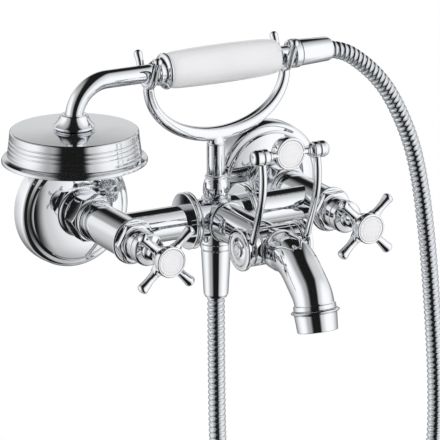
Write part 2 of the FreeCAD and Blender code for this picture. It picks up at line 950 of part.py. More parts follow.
# Stirrup lever: two rings on the axle, two legs, a crossbar with turned barrels and a knob
leg_x = ring_inner + lever_ring_width / 2
bar_centre = V(0, -lever_bar_reach, lever_bar_height)
lever_solids = []
for way in (-1, 1):
    hub = tube(
        lever_ring_radius,
        spindle_radius + thread_gap / 2,
        axle + RIGHT * (way * ring_inner),
        axle + RIGHT * (way * ring_outer),
    )
    foot = V(way * leg_x, 2.0 - diverter_reach - lever_ring_radius, 3.4)
    knee = V(way * leg_x, -lever_knee_reach, lever_knee_height)
    top = V(way * leg_x, -lever_bar_reach, lever_bar_height)
    leg_path, unused = smooth_path([foot, knee, top], [lever_knee_bend])
    lever_solids += [hub, swept(leg_path, lever_leg_radius)]
    inner = leg_x - lever_barrel_length / 2 + 0.6
    start = bar_centre + RIGHT * (way * inner)
    body = lever_barrel_radius
    end = lever_barrel_length
    barrel = turned(
        [
            (0, 0),
            (body - 0.8, 0),
            (body, 0.8, body - 0.2, 0.2),
            (body, 4.2),
            (body - lever_barrel_groove, 5.0),
            (body - 0.1, 5.8),
            (body - 0.1, end - body + 0.6),
            dome(body - 0.1, end - body + 0.6, end),
        ],
        start,
        RIGHT * way,
    )
    lever_solids.append(barrel)
    lever_solids.append(rod(lever_bar_radius, bar_centre, start + RIGHT * way))
lever = lever_solids[0].fuse(lever_solids[1:])
knob_back = bar_centre - OUT * (knob_length * 0.6)
cup = turned(
    [
        (0, 0),
        (knob_radius - 5.0, 0),
        (knob_radius - 0.6, 4.4, knob_radius - 2.0, 1.4),
        (knob_radius - 0.6, knob_length - 1.0),
        (0, knob_length - 1.0),
    ],
    knob_back,
    OUT,
)
knob_front = knob_back + OUT * knob_length
pocket = rod(screw_pocket_radius, knob_front - OUT * 4.0, knob_front + OUT)
lever = lever.fuse(cup).cut([pocket, rod(screw_pocket_radius, knob_front - OUT * 4.0, knob_front)])
save("diverter_lever", lever.removeSplitter())
knob_seat = knob_front - OUT * 1.0
save("lever_bezel", bezel(knob_seat, knob_radius, screw_pocket_radius - thread_gap, 2.8, bezel_length, OUT))
save("lever_disc", porcelain_disc(knob_seat, knob_radius, bezel_length, OUT))
for side, way in (("left", -1), ("right", 1)):
    cap_base = axle + RIGHT * (way * (ring_outer + thread_gap))
    cap = turned(
        [
            (0, -7),
            (1.8, -7),
            (1.8, 0),
            (lever_cap_radius, 0),
            (lever_cap_radius, 1.0),
            (lever_cap_radius - 1.4, lever_cap_width - 0.6, lever_cap_radius - 0.4, 1.8),
            (lever_cap_radius - 2.2, lever_cap_width - 1.0),
            dome(lever_cap_radius - 2.2, lever_cap_width - 1.0, lever_cap_width),
        ],
        cap_base,
        RIGHT * way,
    )
    save("lever_cap_" + side, cap)


# Spout: a bent tube with a collar, a bead and a screwed nozzle that holds the aerator
slope = math.radians(spout_tip_slope)
tip_axis = V(0, -math.cos(slope), -math.sin(slope))
root = V(0, -spout_root_reach, 0)
spout_bend_reach = spout_root_reach + spout_straight
spout_fall_reach = spout_bend_reach + spout_fall_out
fall = V(0, -spout_fall_reach, -spout_fall)
tip = fall + tip_axis * spout_tip_run
bends = [spout_root_bend, spout_tip_bend]
spout_path, unused = smooth_path([root, V(0, -spout_bend_reach, 0), fall, tip], bends)
outer = swept(spout_path, spout_radius)
collar = turned(
    [
        (0, -1.4),
        (spout_radius, -1.0),
        (tip_collar_radius, 0.6),
        (tip_collar_radius, tip_collar_length),
        (0, tip_collar_length),
    ],
    tip,
    tip_axis,
)
far_tip = tip + tip_axis * (tip_collar_length + 1)
bore_path, unused = smooth_path([root - OUT, V(0, -spout_bend_reach, 0), fall, far_tip], bends)
bore = swept(bore_path, spout_radius - spout_wall)
save("spout", outer.fuse(collar).cut(bore).removeSplitter())

nozzle_start = tip + tip_axis * (tip_collar_length + thread_gap)
nozzle_end = tip_bead_length + nozzle_length
mouth_radius = nozzle_mouth_radius - nozzle_wall
nozzle = turned(
    [
        (spout_radius - spout_wall, 0),
        (tip_bead_radius - 0.9, 0),
        (tip_bead_radius - 0.9, tip_bead_length, tip_bead_radius, tip_bead_length / 2),
        (nozzle_top_radius, tip_bead_length),
        (nozzle_mouth_radius, nozzle_end - 0.4),
        (nozzle_mouth_radius - 0.4, nozzle_end),
        (mouth_radius, nozzle_end),
        (mouth_radius, tip_bead_length),
        (spout_radius - spout_wall, tip_bead_length),
    ],
    nozzle_start,
    tip_axis,
)
save("spout_nozzle", nozzle)
across = V(0, -math.sin(slope), math.cos(slope))
plate_base = nozzle_start + tip_axis * (nozzle_end - aerator_recess - aerator_thickness)
aerator = rod(mouth_radius - running_gap, plate_base, plate_base + tip_axis * aerator_thickness)
holes = []
for radius, count in zip(aerator_ring_radii, aerator_ring_counts):
    for k in range(count):
        angle = 2 * math.pi * k / count
        spot = plate_base + RIGHT * (radius * math.cos(angle)) + across * (radius * math.sin(angle))
        holes.append(rod(aerator_hole_radius, spot - tip_axis, spot + tip_axis * (aerator_thickness + 1)))
save("aerator", aerator.cut(holes))


# Riser column and the cradle on it
riser_base = centre + UP * top_boss_height
riser_height = riser_top_height - top_boss_height
riser = turned(
    [
        (0, -riser_spigot_length + 0.4),
        (riser_radius - 2 * thread_gap, -riser_spigot_length + 0.4),
        (riser_radius - 2 * thread_gap, 0),
        (riser_foot_radius, 0),
        (riser_foot_radius, riser_foot_height),
        (riser_radius, riser_bead_height - 1.2, riser_radius + 0.6, riser_foot_height + 4.0),
        (riser_radius, riser_bead_height + 1.2, riser_bead_radius, riser_bead_height),
        (riser_radius, riser_height),
        (0, riser_height),
    ],
    riser_base,
    UP,
)
riser_top = centre + UP * riser_top_height
riser_hole = rod(dowel_radius, riser_top - UP * dowel_length, riser_top + UP)
save("riser", riser.cut(riser_hole))


def lower_half(half_span, drop):
    """The lower half of an ellipse in the cradle's plane."""
    middle = V(yoke_centre, -bar_reach, yoke_inner_height)
    whole = Part.Ellipse(middle + RIGHT * half_span, middle - UP * drop, middle)
    return Part.ArcOfEllipse(whole, 0, math.pi).toShape()


def fork_end(tip, heading):
    """The rounded end of a fork's wire, a little fuller than the wire, with a small flat on top."""
    full = fork_wire_radius + fork_bulb
    flat = 0.9
    return turned(
        [
            (0, -2 * full),
            (fork_wire_radius - 0.1, -2 * full),
            (full, 0, full - 0.04, -0.7 * full),
            (flat, full * 0.94, full * 0.8, full * 0.62),
            (0, full * 0.94),
        ],
        tip,
        heading,
    )


def cradle():
    """A crescent that narrows towards its ends, on a short stem, with an open fork at each end."""
    inner_span = yoke_half_span - yoke_strap / 2
    inner = lower_half(inner_span, yoke_inner_drop)
    outer = lower_half(inner_span + yoke_strap, yoke_inner_drop + yoke_bottom_strap)
    ends = [Part.makeLine(inner.Vertexes[k].Point, outer.Vertexes[k].Point) for k in (0, 1)]
    face = Part.Face(Part.Wire(Part.sortEdges([inner, outer] + ends)[0]))
    face.translate(OUT * (-yoke_depth / 2))
    crescent = face.extrude(OUT * yoke_depth)
    rims = [e for e in crescent.Edges if not isinstance(e.Curve, Part.Line)]
    crescent = crescent.makeChamfer(yoke_edge, rims)
    stem_height = yoke_inner_height - yoke_inner_drop - riser_top_height
    thin = yoke_depth / 2 - 0.2
    stem = turned(
        [
            (0, thread_gap),
            (riser_radius, thread_gap),
            (riser_radius, 2.0),
            (thin, stem_height - 1.2, riser_radius - 1.2, stem_height - 4.4),
            (0, stem_height - 1.2),
        ],
        riser_top,
        UP,
    )
    pin = rod(dowel_radius - thread_gap, riser_top - UP * (dowel_length - 0.5), riser_top + UP * 2)
    pieces = [stem, pin]
    bend = journal_radius + soft_gap + fork_wire_radius
    slope = math.radians(fork_slope)
    for way in (-1, 1):
        spot = V(yoke_centre + way * yoke_half_span, -bar_reach, handset_height)
        corner = spot - UP * (bend / math.sin(slope))
        rise = fork_tip_height + bend / math.sin(slope)
        tips = [corner + UP * rise + OUT * (rise * math.tan(slope) * k) for k in (-1, 1)]
        line, unused = smooth_path([tips[0], corner, tips[1]], [bend])
        pieces.append(swept(line, fork_wire_radius))
        pieces += [fork_end(tip, (tip - corner).normalize()) for tip in tips]
        foot = spot - UP * (handset_height - yoke_inner_height + 1.0)
        pieces.append(rod(yoke_strap / 2 - 0.4, foot, spot - UP * bend))
    return crescent.fuse(pieces).removeSplitter()


save("cradle", cradle())


# Hand shower: head, neck, ferrules, porcelain grip and the stay that clamps them
line_of_grip = V(0, -bar_reach, handset_height)
grip_left = grip_shift - grip_length / 2
grip_right = grip_shift + grip_length / 2
bulge = (grip_mid_radius - grip_end_radius) * 0.75
quarter = grip_length / 4
grip = turned(
    [
        (grip_bore, grip_left),
        (grip_end_radius - 0.6, grip_left),
        (grip_end_radius, grip_left + 0.6),
        (grip_mid_radius, grip_shift, grip_end_radius + bulge, grip_shift - quarter),
        (grip_end_radius, grip_right - 1.0, grip_end_radius + bulge, grip_shift + quarter),
        (grip_end_radius - 1.0, grip_right, grip_end_radius - 0.3, grip_right - 0.3),
        (grip_bore, grip_right),
    ],
    line_of_grip,
    RIGHT,
)
save("grip", grip)

front_start = thread_gap - grip_left
bead_end = front_start + ferrule_bead
front_end = yoke_half_span - yoke_centre - fork_wire_radius - 1.0
neck_socket = front_end - ferrule_socket
front_ferrule = turned(
    [
        (stay_radius + thread_gap, front_start),
        (ferrule_radius - 0.6, front_start),
        (ferrule_radius - 0.6, bead_end, ferrule_radius, (front_start + bead_end) / 2),
        (ferrule_radius - 1.8, bead_end + 0.6),
        (ferrule_end_radius + 1.2, front_end - 2.6, ferrule_radius - 2.2, bead_end + 2.2),
        (ferrule_end_radius, front_end - 1.8),
        (ferrule_end_radius - 0.4, front_end),
        (journal_radius + thread_gap, front_end),
        (journal_radius + thread_gap, neck_socket),
        (journal_radius - neck_wall, neck_socket),
        (journal_radius - neck_wall, bead_end + 0.6),
        (stay_radius + thread_gap, bead_end + 0.6),
    ],
    line_of_grip,
    RIGHT * -1,
)
save("front_ferrule", front_ferrule)

rear_start = grip_right + thread_gap
flange_start = yoke_half_span + yoke_centre + journal_length / 2
rear_end = flange_start + rear_flange_length
rear_ferrule = turned(
    [
        (stay_radius + thread_gap, rear_start),
        (grip_end_radius - 0.9, rear_start),
        (journal_radius, flange_start - journal_length + 1.4, journal_radius + 1.3, rear_start + 1.6),
        (journal_radius, flange_start),
        (rear_flange_radius - 0.5, flange_start),
        (rear_flange_radius, flange_start + 0.8),
        (rear_flange_radius, rear_end - 0.5),
        (rear_flange_radius - 0.5, rear_end),
        (hand_nipple_radius, rear_end),
        (hand_nipple_radius, rear_end + 11.0),
        (hose_bore, rear_end + 11.0),
        (hose_bore, rear_start + 3.0),
        (journal_radius - 1.4, rear_start + 1.6),
        (stay_radius + thread_gap, rear_start + 1.6),
    ],
    line_of_grip,
    RIGHT,
)
save("rear_ferrule", rear_ferrule)
stay_ends = [line_of_grip - RIGHT * (bead_end + 0.4), line_of_grip + RIGHT * (rear_start + 1.4)]
save("grip_stay", tube(stay_radius, journal_radius - 1.4, *stay_ends))

head_axis = V(-head_offset, -bar_reach, 0)
neck_start = line_of_grip - RIGHT * (neck_socket + thread_gap)
neck_end = head_axis + UP * (head_top_height + 4.0)
corner = V(-head_offset, -bar_reach, handset_height)
neck_path, unused = smooth_path([neck_start, corner, neck_end], [neck_bend_radius])
save("neck_tube", swept(neck_path, journal_radius).cut(swept(neck_path, journal_radius - neck_wall)))

head_base = head_axis
rib_start = head_top_height - 5.0
side = [(head_top_radius - 0.8, head_top_height), (head_top_radius, head_top_height - 0.8)]
for k in range(head_ribs):
    z = rib_start - k * head_rib_pitch
    radius = head_top_radius + (head_side_radius - head_top_radius) * (k + 1) / head_ribs
    side += [(radius, z), (radius - head_rib_depth, z - 0.5), (radius, z - 1.0)]
ribs_end = rib_start - head_ribs * head_rib_pitch
rim_top = head_rim_height + head_rim_lip
side += [
    (head_side_radius, ribs_end),
    (head_rim_radius, rim_top - 1.4, head_side_radius + 1.0, rim_top + 0.8),
    (head_rim_radius, head_rim_height),
]
neck_hole = journal_radius + 0.6
inside = [
    (head_rim_radius - head_wall, head_rim_height),
    (head_rim_radius - head_wall - 0.4, rim_top - 1.8),
    (head_side_radius - head_wall - 0.8, ribs_end - 0.6),
    (head_top_radius - head_wall - 0.8, head_top_height - head_wall),
    (neck_hole, head_top_height + head_crown - head_wall),
]
crown = [(neck_hole, head_top_height + head_crown)]
save("head_shell", turned(crown + side + inside, head_base, UP))

plate_radius = head_side_radius - head_wall - 1.6
plate_low = head_rim_height + spray_plate_recess
plate_edge = head_rim_radius - head_wall - 1.9
spray = turned(
    [
        (0, plate_low),
        (plate_edge, plate_low),
        (plate_edge, plate_low + 0.6),
        (plate_radius, plate_low + spray_plate_thickness),
        (0, plate_low + spray_plate_thickness),
    ],
    head_base,
    UP,
)
save("spray_plate", spray)
bumps = []
for radius, count in nozzle_rings:
    for k in range(count):
        angle = 2 * math.pi * k / count
        spot = head_axis + V(radius * math.cos(angle), radius * math.sin(angle), plate_low)
        bump_tip = nozzle_bump_radius * 0.6
        bumps.append(Part.makeCone(nozzle_bump_radius, bump_tip, nozzle_bump_length, spot, UP * -1))
save("spray_nozzles", Part.makeCompound(bumps))

cone_base = head_top_height + head_crown + thread_gap
cone_top = cone_base + cone_nut_height
cone_waist = cone_base + cone_nut_height * 0.45
cone_nut = turned(
    [
        (journal_radius + face_gap, cone_base),
        (cone_nut_radius - 1.6, cone_base),
        (cone_nut_radius, cone_base + cone_nut_foot),
        (cone_nut_top_radius + 0.4, cone_top - 2.2, cone_nut_radius - 2.6, cone_waist),
        (cone_nut_top_radius, cone_top - 0.6),
        (cone_nut_top_radius - 0.6, cone_top),
        (journal_radius + face_gap, cone_top),
    ],
    head_base,
    UP,
)
save("head_nut", cone_nut)
backnut_depth = 4.4
backnut = turned(
    [
        (journal_radius + thread_gap, head_top_height - head_wall - backnut_depth + head_crown),
        (9.0, head_top_height - head_wall - backnut_depth + head_crown),
        (9.0, head_top_height - head_wall + head_crown - 0.3),
        (journal_radius + thread_gap, head_top_height - head_wall + head_crown - 0.3),
    ],
    head_base,
    UP,
)
save("head_backnut", backnut)


# Hose fittings
def cone_nut_profile(big, small, length, nipple, nipple_length, start):
    """A slim conical nut: threaded at its wide end, with a chamfer and a mouth that clears the hose."""
    mouth = hose_radius + 3 * face_gap
    return [
        (nipple + thread_gap, start),
        (big - 0.5, start),
        (big, start + 0.5),
        (small, start + length - nut_chamfer),
        (mouth + 0.35, start + length),
        (mouth, start + length),
        (mouth, start + length - nut_mouth_depth),
        (hose_bore, start + length - nut_mouth_depth),
        (hose_bore, start + nipple_length + 1.2),
        (nipple + thread_gap, start + nipple_length + 1.2),
    ]


outlet_base = centre - UP * bottom_boss_depth
nipple = turned(
    [
        (hose_bore, 0.4 - nipple_spigot),
        (nipple_radius - thread_gap, 0.4 - nipple_spigot),
        (nipple_radius - thread_gap, thread_gap),
        (nipple_collar_radius - 0.5, thread_gap),
        (nipple_collar_radius, 0.6),
        (nipple_collar_radius, nipple_collar_length - 0.5),
        (nipple_collar_radius - 0.5, nipple_collar_length),
        (nipple_radius - thread_gap, nipple_collar_length),
        (nipple_radius - thread_gap, nipple_collar_length + 12.0),
        (hose_bore, nipple_collar_length + 12.0),
    ],
    outlet_base,
    UP * -1,
)
save("outlet_nipple", nipple)
supply_nut_start = nipple_collar_length + thread_gap
supply_nut = turned(
    cone_nut_profile(
        supply_nut_radius, supply_nut_small_radius, supply_nut_length, nipple_radius, 12.0, supply_nut_start
    ),
    outlet_base,
    UP * -1,
)
save("hose_nut_supply", supply_nut)
hand_nut_start = rear_end + thread_gap
hand_nut = turned(
    cone_nut_profile(
        hand_nut_radius, hand_nut_small_radius, hand_nut_length, hand_nipple_radius, 11.0, hand_nut_start
    ),
    line_of_grip,
    RIGHT,
)
save("hose_nut_handset", hand_nut)
seal_start = rear_end + 11.0 + thread_gap
seal_near = line_of_grip + RIGHT * seal_start
seal = tube(hand_nipple_radius, 4.0, seal_near, seal_near + RIGHT * 0.9)
seal_low = outlet_base - UP * (nipple_collar_length + 12.0 + thread_gap)
supply_seal = tube(nipple_radius, 4.0, seal_low, seal_low - UP * 0.9)
save("hose_washer_supply", supply_seal)
save("hose_washer_handset", seal)


# Hose: the stretch from the body, the spare loop and the stretch to the hand shower
supply_start = outlet_base - UP * (supply_nut_start + supply_nut_length - nut_mouth_depth + soft_gap)
loop_start = loop_point(0)
loop_end = loop_point(loop_turns)
supply_turn = loop_start - loop_heading(0) * loop_lead
handset_turn = loop_end + loop_heading(loop_turns) * loop_lead
supply_points = [supply_start] + supply_route + [supply_turn, loop_start]
handset_points = handset_route + [handset_turn, loop_end]
length = 0
for name, points in (("hose_supply_run", supply_points), ("hose_handset_run", handset_points)):
    path, radii = smooth_path(points)
    solid = ribbed(path)
    length += path.Length
    print(name, "length", round(path.Length, 1), "radii", [round(r, 1) for r in radii])
    save(name, solid)

quarters = int(loop_turns * 4)
loop_edges = []
for k in range(quarters):
    a = k / 4
    b = (k + 1) / 4
    loop_edges += biarc(loop_point(a), loop_heading(a), loop_point(b), loop_heading(b))
loop_path = Part.Wire(loop_edges)
loop = swept(loop_path, hose_radius)
save("hose_loop", loop)
length += loop_path.Length
print("hose_loop length", round(loop_path.Length, 1), "whole hose", round(length, 1))
samples = [loop_point(k / 240) for k in range(int(loop_turns * 240) + 1)]
least = min(
    samples[i].distanceToPoint(samples[j])
    for i in range(len(samples))
    for j in range(i + 60, len(samples))
)
print("least gap of the loop to itself", round(least - 2 * hose_radius, 2))

tie_turn = 0.25
tie_low = loop_point(tie_turn)
tie_high = loop_point(tie_turn + 1)
outer_height = hose_radius + tie_gap + tie_thickness
inner_height = hose_radius + tie_gap


def slot_band(reach):
    """An oval prism that goes round both passes of the hose at the bottom of the loop."""
    ends = [tie_low - RIGHT * (tie_width / 2), tie_high - RIGHT * (tie_width / 2)]
    solid = rod(reach, ends[0], ends[0] + RIGHT * tie_width)
    solid = solid.fuse(rod(reach, ends[1], ends[1] + RIGHT * tie_width))
    corners = [
        ends[0] + UP * reach,
        ends[1] + UP * reach,
        ends[1] - UP * reach,
        ends[0] - UP * reach,
        ends[0] + UP * reach,
    ]
    return solid.fuse(Part.Face(Part.makePolygon(corners)).extrude(RIGHT * tie_width))


save("hose_tie", slot_band(outer_height).cut(slot_band(inner_height)).removeSplitter())
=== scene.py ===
import math

import bmesh
import bpy
import numpy as np
from mathutils import Matrix, Vector


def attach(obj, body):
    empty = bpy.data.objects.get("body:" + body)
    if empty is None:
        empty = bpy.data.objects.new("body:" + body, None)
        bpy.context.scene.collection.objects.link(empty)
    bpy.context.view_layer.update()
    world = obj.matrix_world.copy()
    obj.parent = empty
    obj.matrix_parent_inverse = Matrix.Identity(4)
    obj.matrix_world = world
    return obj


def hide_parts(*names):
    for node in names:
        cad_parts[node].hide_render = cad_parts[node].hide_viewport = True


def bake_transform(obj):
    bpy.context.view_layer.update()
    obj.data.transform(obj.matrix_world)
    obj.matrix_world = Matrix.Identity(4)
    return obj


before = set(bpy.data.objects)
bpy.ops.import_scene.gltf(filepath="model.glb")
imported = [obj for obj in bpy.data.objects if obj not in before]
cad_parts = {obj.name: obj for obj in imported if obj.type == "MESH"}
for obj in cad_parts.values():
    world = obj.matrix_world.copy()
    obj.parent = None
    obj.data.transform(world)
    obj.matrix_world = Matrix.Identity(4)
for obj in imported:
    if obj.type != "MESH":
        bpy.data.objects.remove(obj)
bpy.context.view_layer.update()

# Studio: a long lens at the photograph's angle, in a white room with a pale floor far below the
# mixer. Only the chrome's mirror sees the room's dark arch, over and behind the camera.
# Lengths here and below are in millimetres, and are turned to metres as they enter Blender.
MM = 0.001
view_turn = math.radians(29.18)
view_drop = math.radians(16.96)
level = math.cos(view_drop)
back = Vector((-math.sin(view_turn) * level, -math.cos(view_turn) * level, math.sin(view_drop)))
right = Vector((math.cos(view_turn), -math.sin(view_turn), 0))
up = back.cross(right)
framed_right = 8.0438
framed_down = 5.4724
aim = Vector((0, -60, 0)) + right * framed_right - up * framed_down
camera_distance = 2400
film_width = 36
lens_length = 292.2

camera_data = bpy.data.cameras.new("camera")
camera_data.sensor_width = film_width
camera_data.lens = lens_length
camera_data.clip_end = 50
camera = bpy.data.objects.new("camera", camera_data)
turn = Matrix((right, up, back)).transposed().to_4x4()
camera.matrix_world = Matrix.Translation((aim + back * camera_distance) * MM) @ turn
bpy.context.scene.collection.objects.link(camera)
bpy.context.scene.camera = camera
bpy.context.scene.view_settings.view_transform = "Standard"


def linear(code):
    """Turns an sRGB hex colour to the linear values that a socket takes."""
    shares = [int(code[k:k + 2], 16) / 255 for k in (1, 3, 5)]
    return tuple(s / 12.92 if s <= 0.04045 else ((s + 0.055) / 1.055) ** 2.4 for s in shares) + (1.0,)


def add_node(tree, kind, inputs=None, to=None, output=0, **settings):
    """Adds a node with its settings and links. An input is a value, an output, or a node, whose
    first output is meant. One of the new node's own outputs may go to another node's input."""
    node = tree.nodes.new(kind)
    for key, value in settings.items():
        setattr(node, key, value)
    for key, value in (inputs or {}).items():
        if isinstance(value, bpy.types.Node):
            value = value.outputs[0]
        if isinstance(value, bpy.types.NodeSocket):
            tree.links.new(value, node.inputs[key])
        else:
            node.inputs[key].default_value = value
    if to:
        tree.links.new(node.outputs[output], to)
    return node


# Three angles place a direction in the room: how far it lies to the right of the upright plane
# through the camera, how high above the level, and how far round from the way the camera looks.
world = bpy.data.worlds.new("white room")
world.use_nodes = True
bpy.context.scene.world = world
room = world.node_tree
room.nodes.clear()
direction = add_node(room, "ShaderNodeTexCoord").outputs["Generated"]
facing_camera = add_node(room, "ShaderNodeMapping", {"Vector": direction, "Rotation": (0, 0, view_turn)})
heading = add_node(room, "ShaderNodeSeparateXYZ", {0: facing_camera}).outputs
across_angle = add_node(room, "ShaderNodeMath", {0: heading["X"]}, operation="ARCSINE")
elevation = add_node(room, "ShaderNodeMath", {0: heading["Z"]}, operation="ARCSINE")
signed_round = add_node(room, "ShaderNodeMath", {0: heading["X"], 1: heading["Y"]}, operation="ARCTAN2")
round_angle = add_node(room, "ShaderNodeMath", {0: signed_round}, operation="ABSOLUTE")

# The arch is black within about 18 degrees of the upright plane. Each wall has a crisp inner edge
# and brightens further out, the right wall sooner, and the room ahead is open below 14 degrees.
# Shade deepens towards the middle of the room ahead, most of all low down, and on the floor. Each
# row gives the angle it follows, the degrees between which it changes, and its value at both.
shade_table = {
    "right_edge": (across_angle, 17, 30, 0.0, 0.6),
    "right_wall": (across_angle, 28, 58, 0.0, 0.4),
    "left_edge": (across_angle, -18, -37, 0.0, 0.42),
    "left_wall": (across_angle, -40, -69, 0.0, 0.58),
    "ahead": (round_angle, 92, 78, 0.0, 1.0),
    "ahead_top": (elevation, 14, 27, 1.0, 0.0),
    "deep": (round_angle, 100, 15, 0.0, 1.0),
    "deep_foot": (elevation, -8, 10, 0.83, 0.33),
    "floor": (elevation, -62, -34, 0.45, 0.0),
}

# The mirrored brightness is open * (1 - shade) * white + black. Open is the ahead rows' product
# plus the four wall rows, up to 1, and shade is the greater of the deep rows' product and floor.
mirrored_white = 1.12
mirrored_black = 0.012
plain_strength = 0.77
shades = {}
for name, (angle, start, end, first, last) in shade_table.items():
    degrees = {"From Min": math.radians(start), "From Max": math.radians(end)}
    span = {"Value": angle, "To Min": first, "To Max": last, **degrees}
    shades[name] = add_node(room, "ShaderNodeMapRange", span, interpolation_type="SMOOTHSTEP")
ahead = {0: shades["ahead"], 1: shades["ahead_top"]}
open_room = add_node(room, "ShaderNodeMath", ahead, operation="MULTIPLY")
for name in ("right_edge", "right_wall", "left_edge", "left_wall"):
    wall = {0: open_room, 1: shades[name]}
    open_room = add_node(room, "ShaderNodeMath", wall, operation="ADD", use_clamp=True)
deep = {0: shades["deep"], 1: shades["deep_foot"]}
deep_shade = add_node(room, "ShaderNodeMath", deep, operation="MULTIPLY")
shade = add_node(room, "ShaderNodeMath", {0: deep_shade, 1: shades["floor"]}, operation="MAXIMUM")
unshaded = {0: shade, 1: -mirrored_white, 2: mirrored_white}
lightness = add_node(room, "ShaderNodeMath", unshaded, operation="MULTIPLY_ADD")
brightened = {0: open_room, 1: lightness, 2: mirrored_black}
brightness = add_node(room, "ShaderNodeMath", brightened, operation="MULTIPLY_ADD")
white = linear("#FFFFFF")
rays = add_node(room, "ShaderNodeLightPath").outputs
mirrored = add_node(room, "ShaderNodeBackground", {"Color": white, "Strength": brightness})
plain = add_node(room, "ShaderNodeBackground", {"Color": white, "Strength": plain_strength})
pure = add_node(room, "ShaderNodeBackground", {"Color": white, "Strength": 1.0})
lit = add_node(room, "ShaderNodeMixShader", {0: rays["Is Glossy Ray"], 1: plain, 2: mirrored})
shown = add_node(room, "ShaderNodeMixShader", {0: rays["Is Camera Ray"], 1: lit, 2: pure})
add_node(room, "ShaderNodeOutputWorld", {"Surface": shown})


lamp_aim = Vector((0, -70, 20))


def add_lamp(name, place, width, power):
    """A square soft box that shines at the middle of the mixer, and isn't mirrored in the chrome."""
    data = bpy.data.lights.new(name, "AREA")
    data.size = width * MM
    data.energy = power
    lamp = bpy.data.objects.new(name, data)
    lamp.location = Vector(place) * MM
    beam = lamp_aim - Vector(place)
    lamp.rotation_euler = beam.to_track_quat("-Z", "Y").to_euler()
    lamp.visible_glossy = False
    bpy.context.scene.collection.objects.link(lamp)


add_lamp("soft_box_left", (-1500, -1300, 1500), 900, 4.2)
add_lamp("soft_box_right", (1700, -1000, 900), 900, 2.6)
add_lamp("soft_box_low", (-200, -1500, -380), 600, 2.4)


def new_material(name, base, roughness, metallic=0.0):
    """A surface with one principled shader, and the object coordinates that its patterns read."""
    material = bpy.data.materials.new(name)
    material.use_nodes = True
    tree = material.node_tree
    shader = tree.nodes["Principled BSDF"]
    shader.inputs["Base Color"].default_value = linear(base)
    shader.inputs["Roughness"].default_value = roughness
    shader.inputs["Metallic"].default_value = metallic
    return material, tree, shader, add_node(tree, "ShaderNodeTexCoord").outputs["Object"]


# The floor is painted board. The camera sees it as white as the room, the chrome's mirror looks
# through it into the room, and all other light meets it as plain board.
floor_height = -430
floor_half = 6000
square = [(-1, -1), (1, -1), (1, 1), (-1, 1)]
corners = [(x * floor_half * MM, y * floor_half * MM, floor_height * MM) for x, y in square]
floor_mesh = bpy.data.meshes.new("floor")
floor_mesh.from_pydata(corners, [], [(0, 1, 2, 3)])
floor = bpy.data.objects.new("floor", floor_mesh)
bpy.context.scene.collection.objects.link(floor)
board, tree, shader, place = new_material("painted board", "#F4F4F2", 0.9)
rays = add_node(tree, "ShaderNodeLightPath").outputs
glow = add_node(tree, "ShaderNodeEmission", {"Color": white, "Strength": 1.0})
clear = add_node(tree, "ShaderNodeBsdfTransparent")
seen_board = add_node(tree, "ShaderNodeMixShader", {0: rays["Is Camera Ray"], 1: shader, 2: glow})
surface = tree.nodes["Material Output"].inputs["Surface"]
add_node(tree, "ShaderNodeMixShader", {0: rays["Is Glossy Ray"], 1: seen_board, 2: clear}, surface)
floor_mesh.materials.append(board)


# Wall covers: each rosette is a deep bell, spun from thin brass sheet and plated. It slides over
# the supply union and hides the wall fitting behind it.
def spaced(distance):
    """The scale of a noise whose grains lie about this far apart."""
    return 1 / (distance * MM)


# Chrome: polished brass with a bright nickel and chrome plate. It mirrors the room sharply, with
# a faint waviness that the polishing wheel leaves every 15 mm or so, and slightly duller patches.
chrome, tree, shader, place = new_material("polished chrome plate", "#EDEFF2", 0.04, 1.0)
waves = add_node(tree, "ShaderNodeTexNoise", {"Vector": place, "Scale": spaced(15), "Detail": 2.0})
relief = {"Height": waves, "Strength": 0.06, "Distance": 0.6 * MM}
add_node(tree, "ShaderNodeBump", relief, shader.inputs["Normal"])
wiped = {"Vector": place, "Scale": spaced(4), "Detail": 3.0, "Roughness": 0.6}
patches = add_node(tree, "ShaderNodeTexNoise", wiped)
dullness = {"Value": patches, "From Min": 0.3, "From Max": 0.7, "To Min": 0.025, "To Max": 0.065}
add_node(tree, "ShaderNodeMapRange", dullness, shader.inputs["Roughness"])


def quadratic(start, pull, end, t):
    """The quadratic curve (1 - t)^2 * start + 2 * t * (1 - t) * pull + t^2 * end."""
    return (1 - t) ** 2 * start + 2 * t * (1 - t) * pull + t ** 2 * end


def outlined(entries, closed):
    """The points of a turned profile. Each entry is (radius, station), or (radius, station, middle
    radius, middle station) for a corner reached along a quadratic curve through its middle point."""
    line = []
    last = np.array(entries[-1][:2] if closed else entries[0][:2], float)
    for entry in entries:
        here = np.array(entry[:2], float)
        if len(entry) == 4:
            pull = 2 * np.array(entry[2:], float) - (last + here) / 2
            line += list(quadratic(last, pull, here, np.linspace(0, 1, 11)[1:-1, None]))
        line.append(here)
        last = here
    return line


def rounded(line, closed, corner):
    """Rounds a profile's corners, each with the quadratic curve from a point a corner's size before
    it to one as far after it. Two more points keep the long flats beside it flat."""
    same_place = 1e-6
    nearly_straight = -0.94
    fitting_share = 0.42
    long_flat = 3
    flat_point = 1.35
    shape = []
    for k, here in enumerate(line):
        if not closed and k in (0, len(line) - 1):
            shape.append(here)
            continue
        before = line[k - 1] - here
        after = line[(k + 1) % len(line)] - here
        a, b = np.linalg.norm(before), np.linalg.norm(after)
        if min(a, b) < same_place:
            continue
        if np.dot(before, after) / (a * b) < nearly_straight:
            shape.append(here)
            continue
        size = min(corner, a * fitting_share, b * fitting_share)
        start, end = here + before / a * size, here + after / b * size
        if a > long_flat * size:
            shape.append(here + before / a * size * flat_point)
        shape += list(quadratic(start, here, end, np.linspace(0, 1, 5)[:, None]))
        if b > long_flat * size:
            shape.append(here + after / b * size * flat_point)
    return np.array(shape)


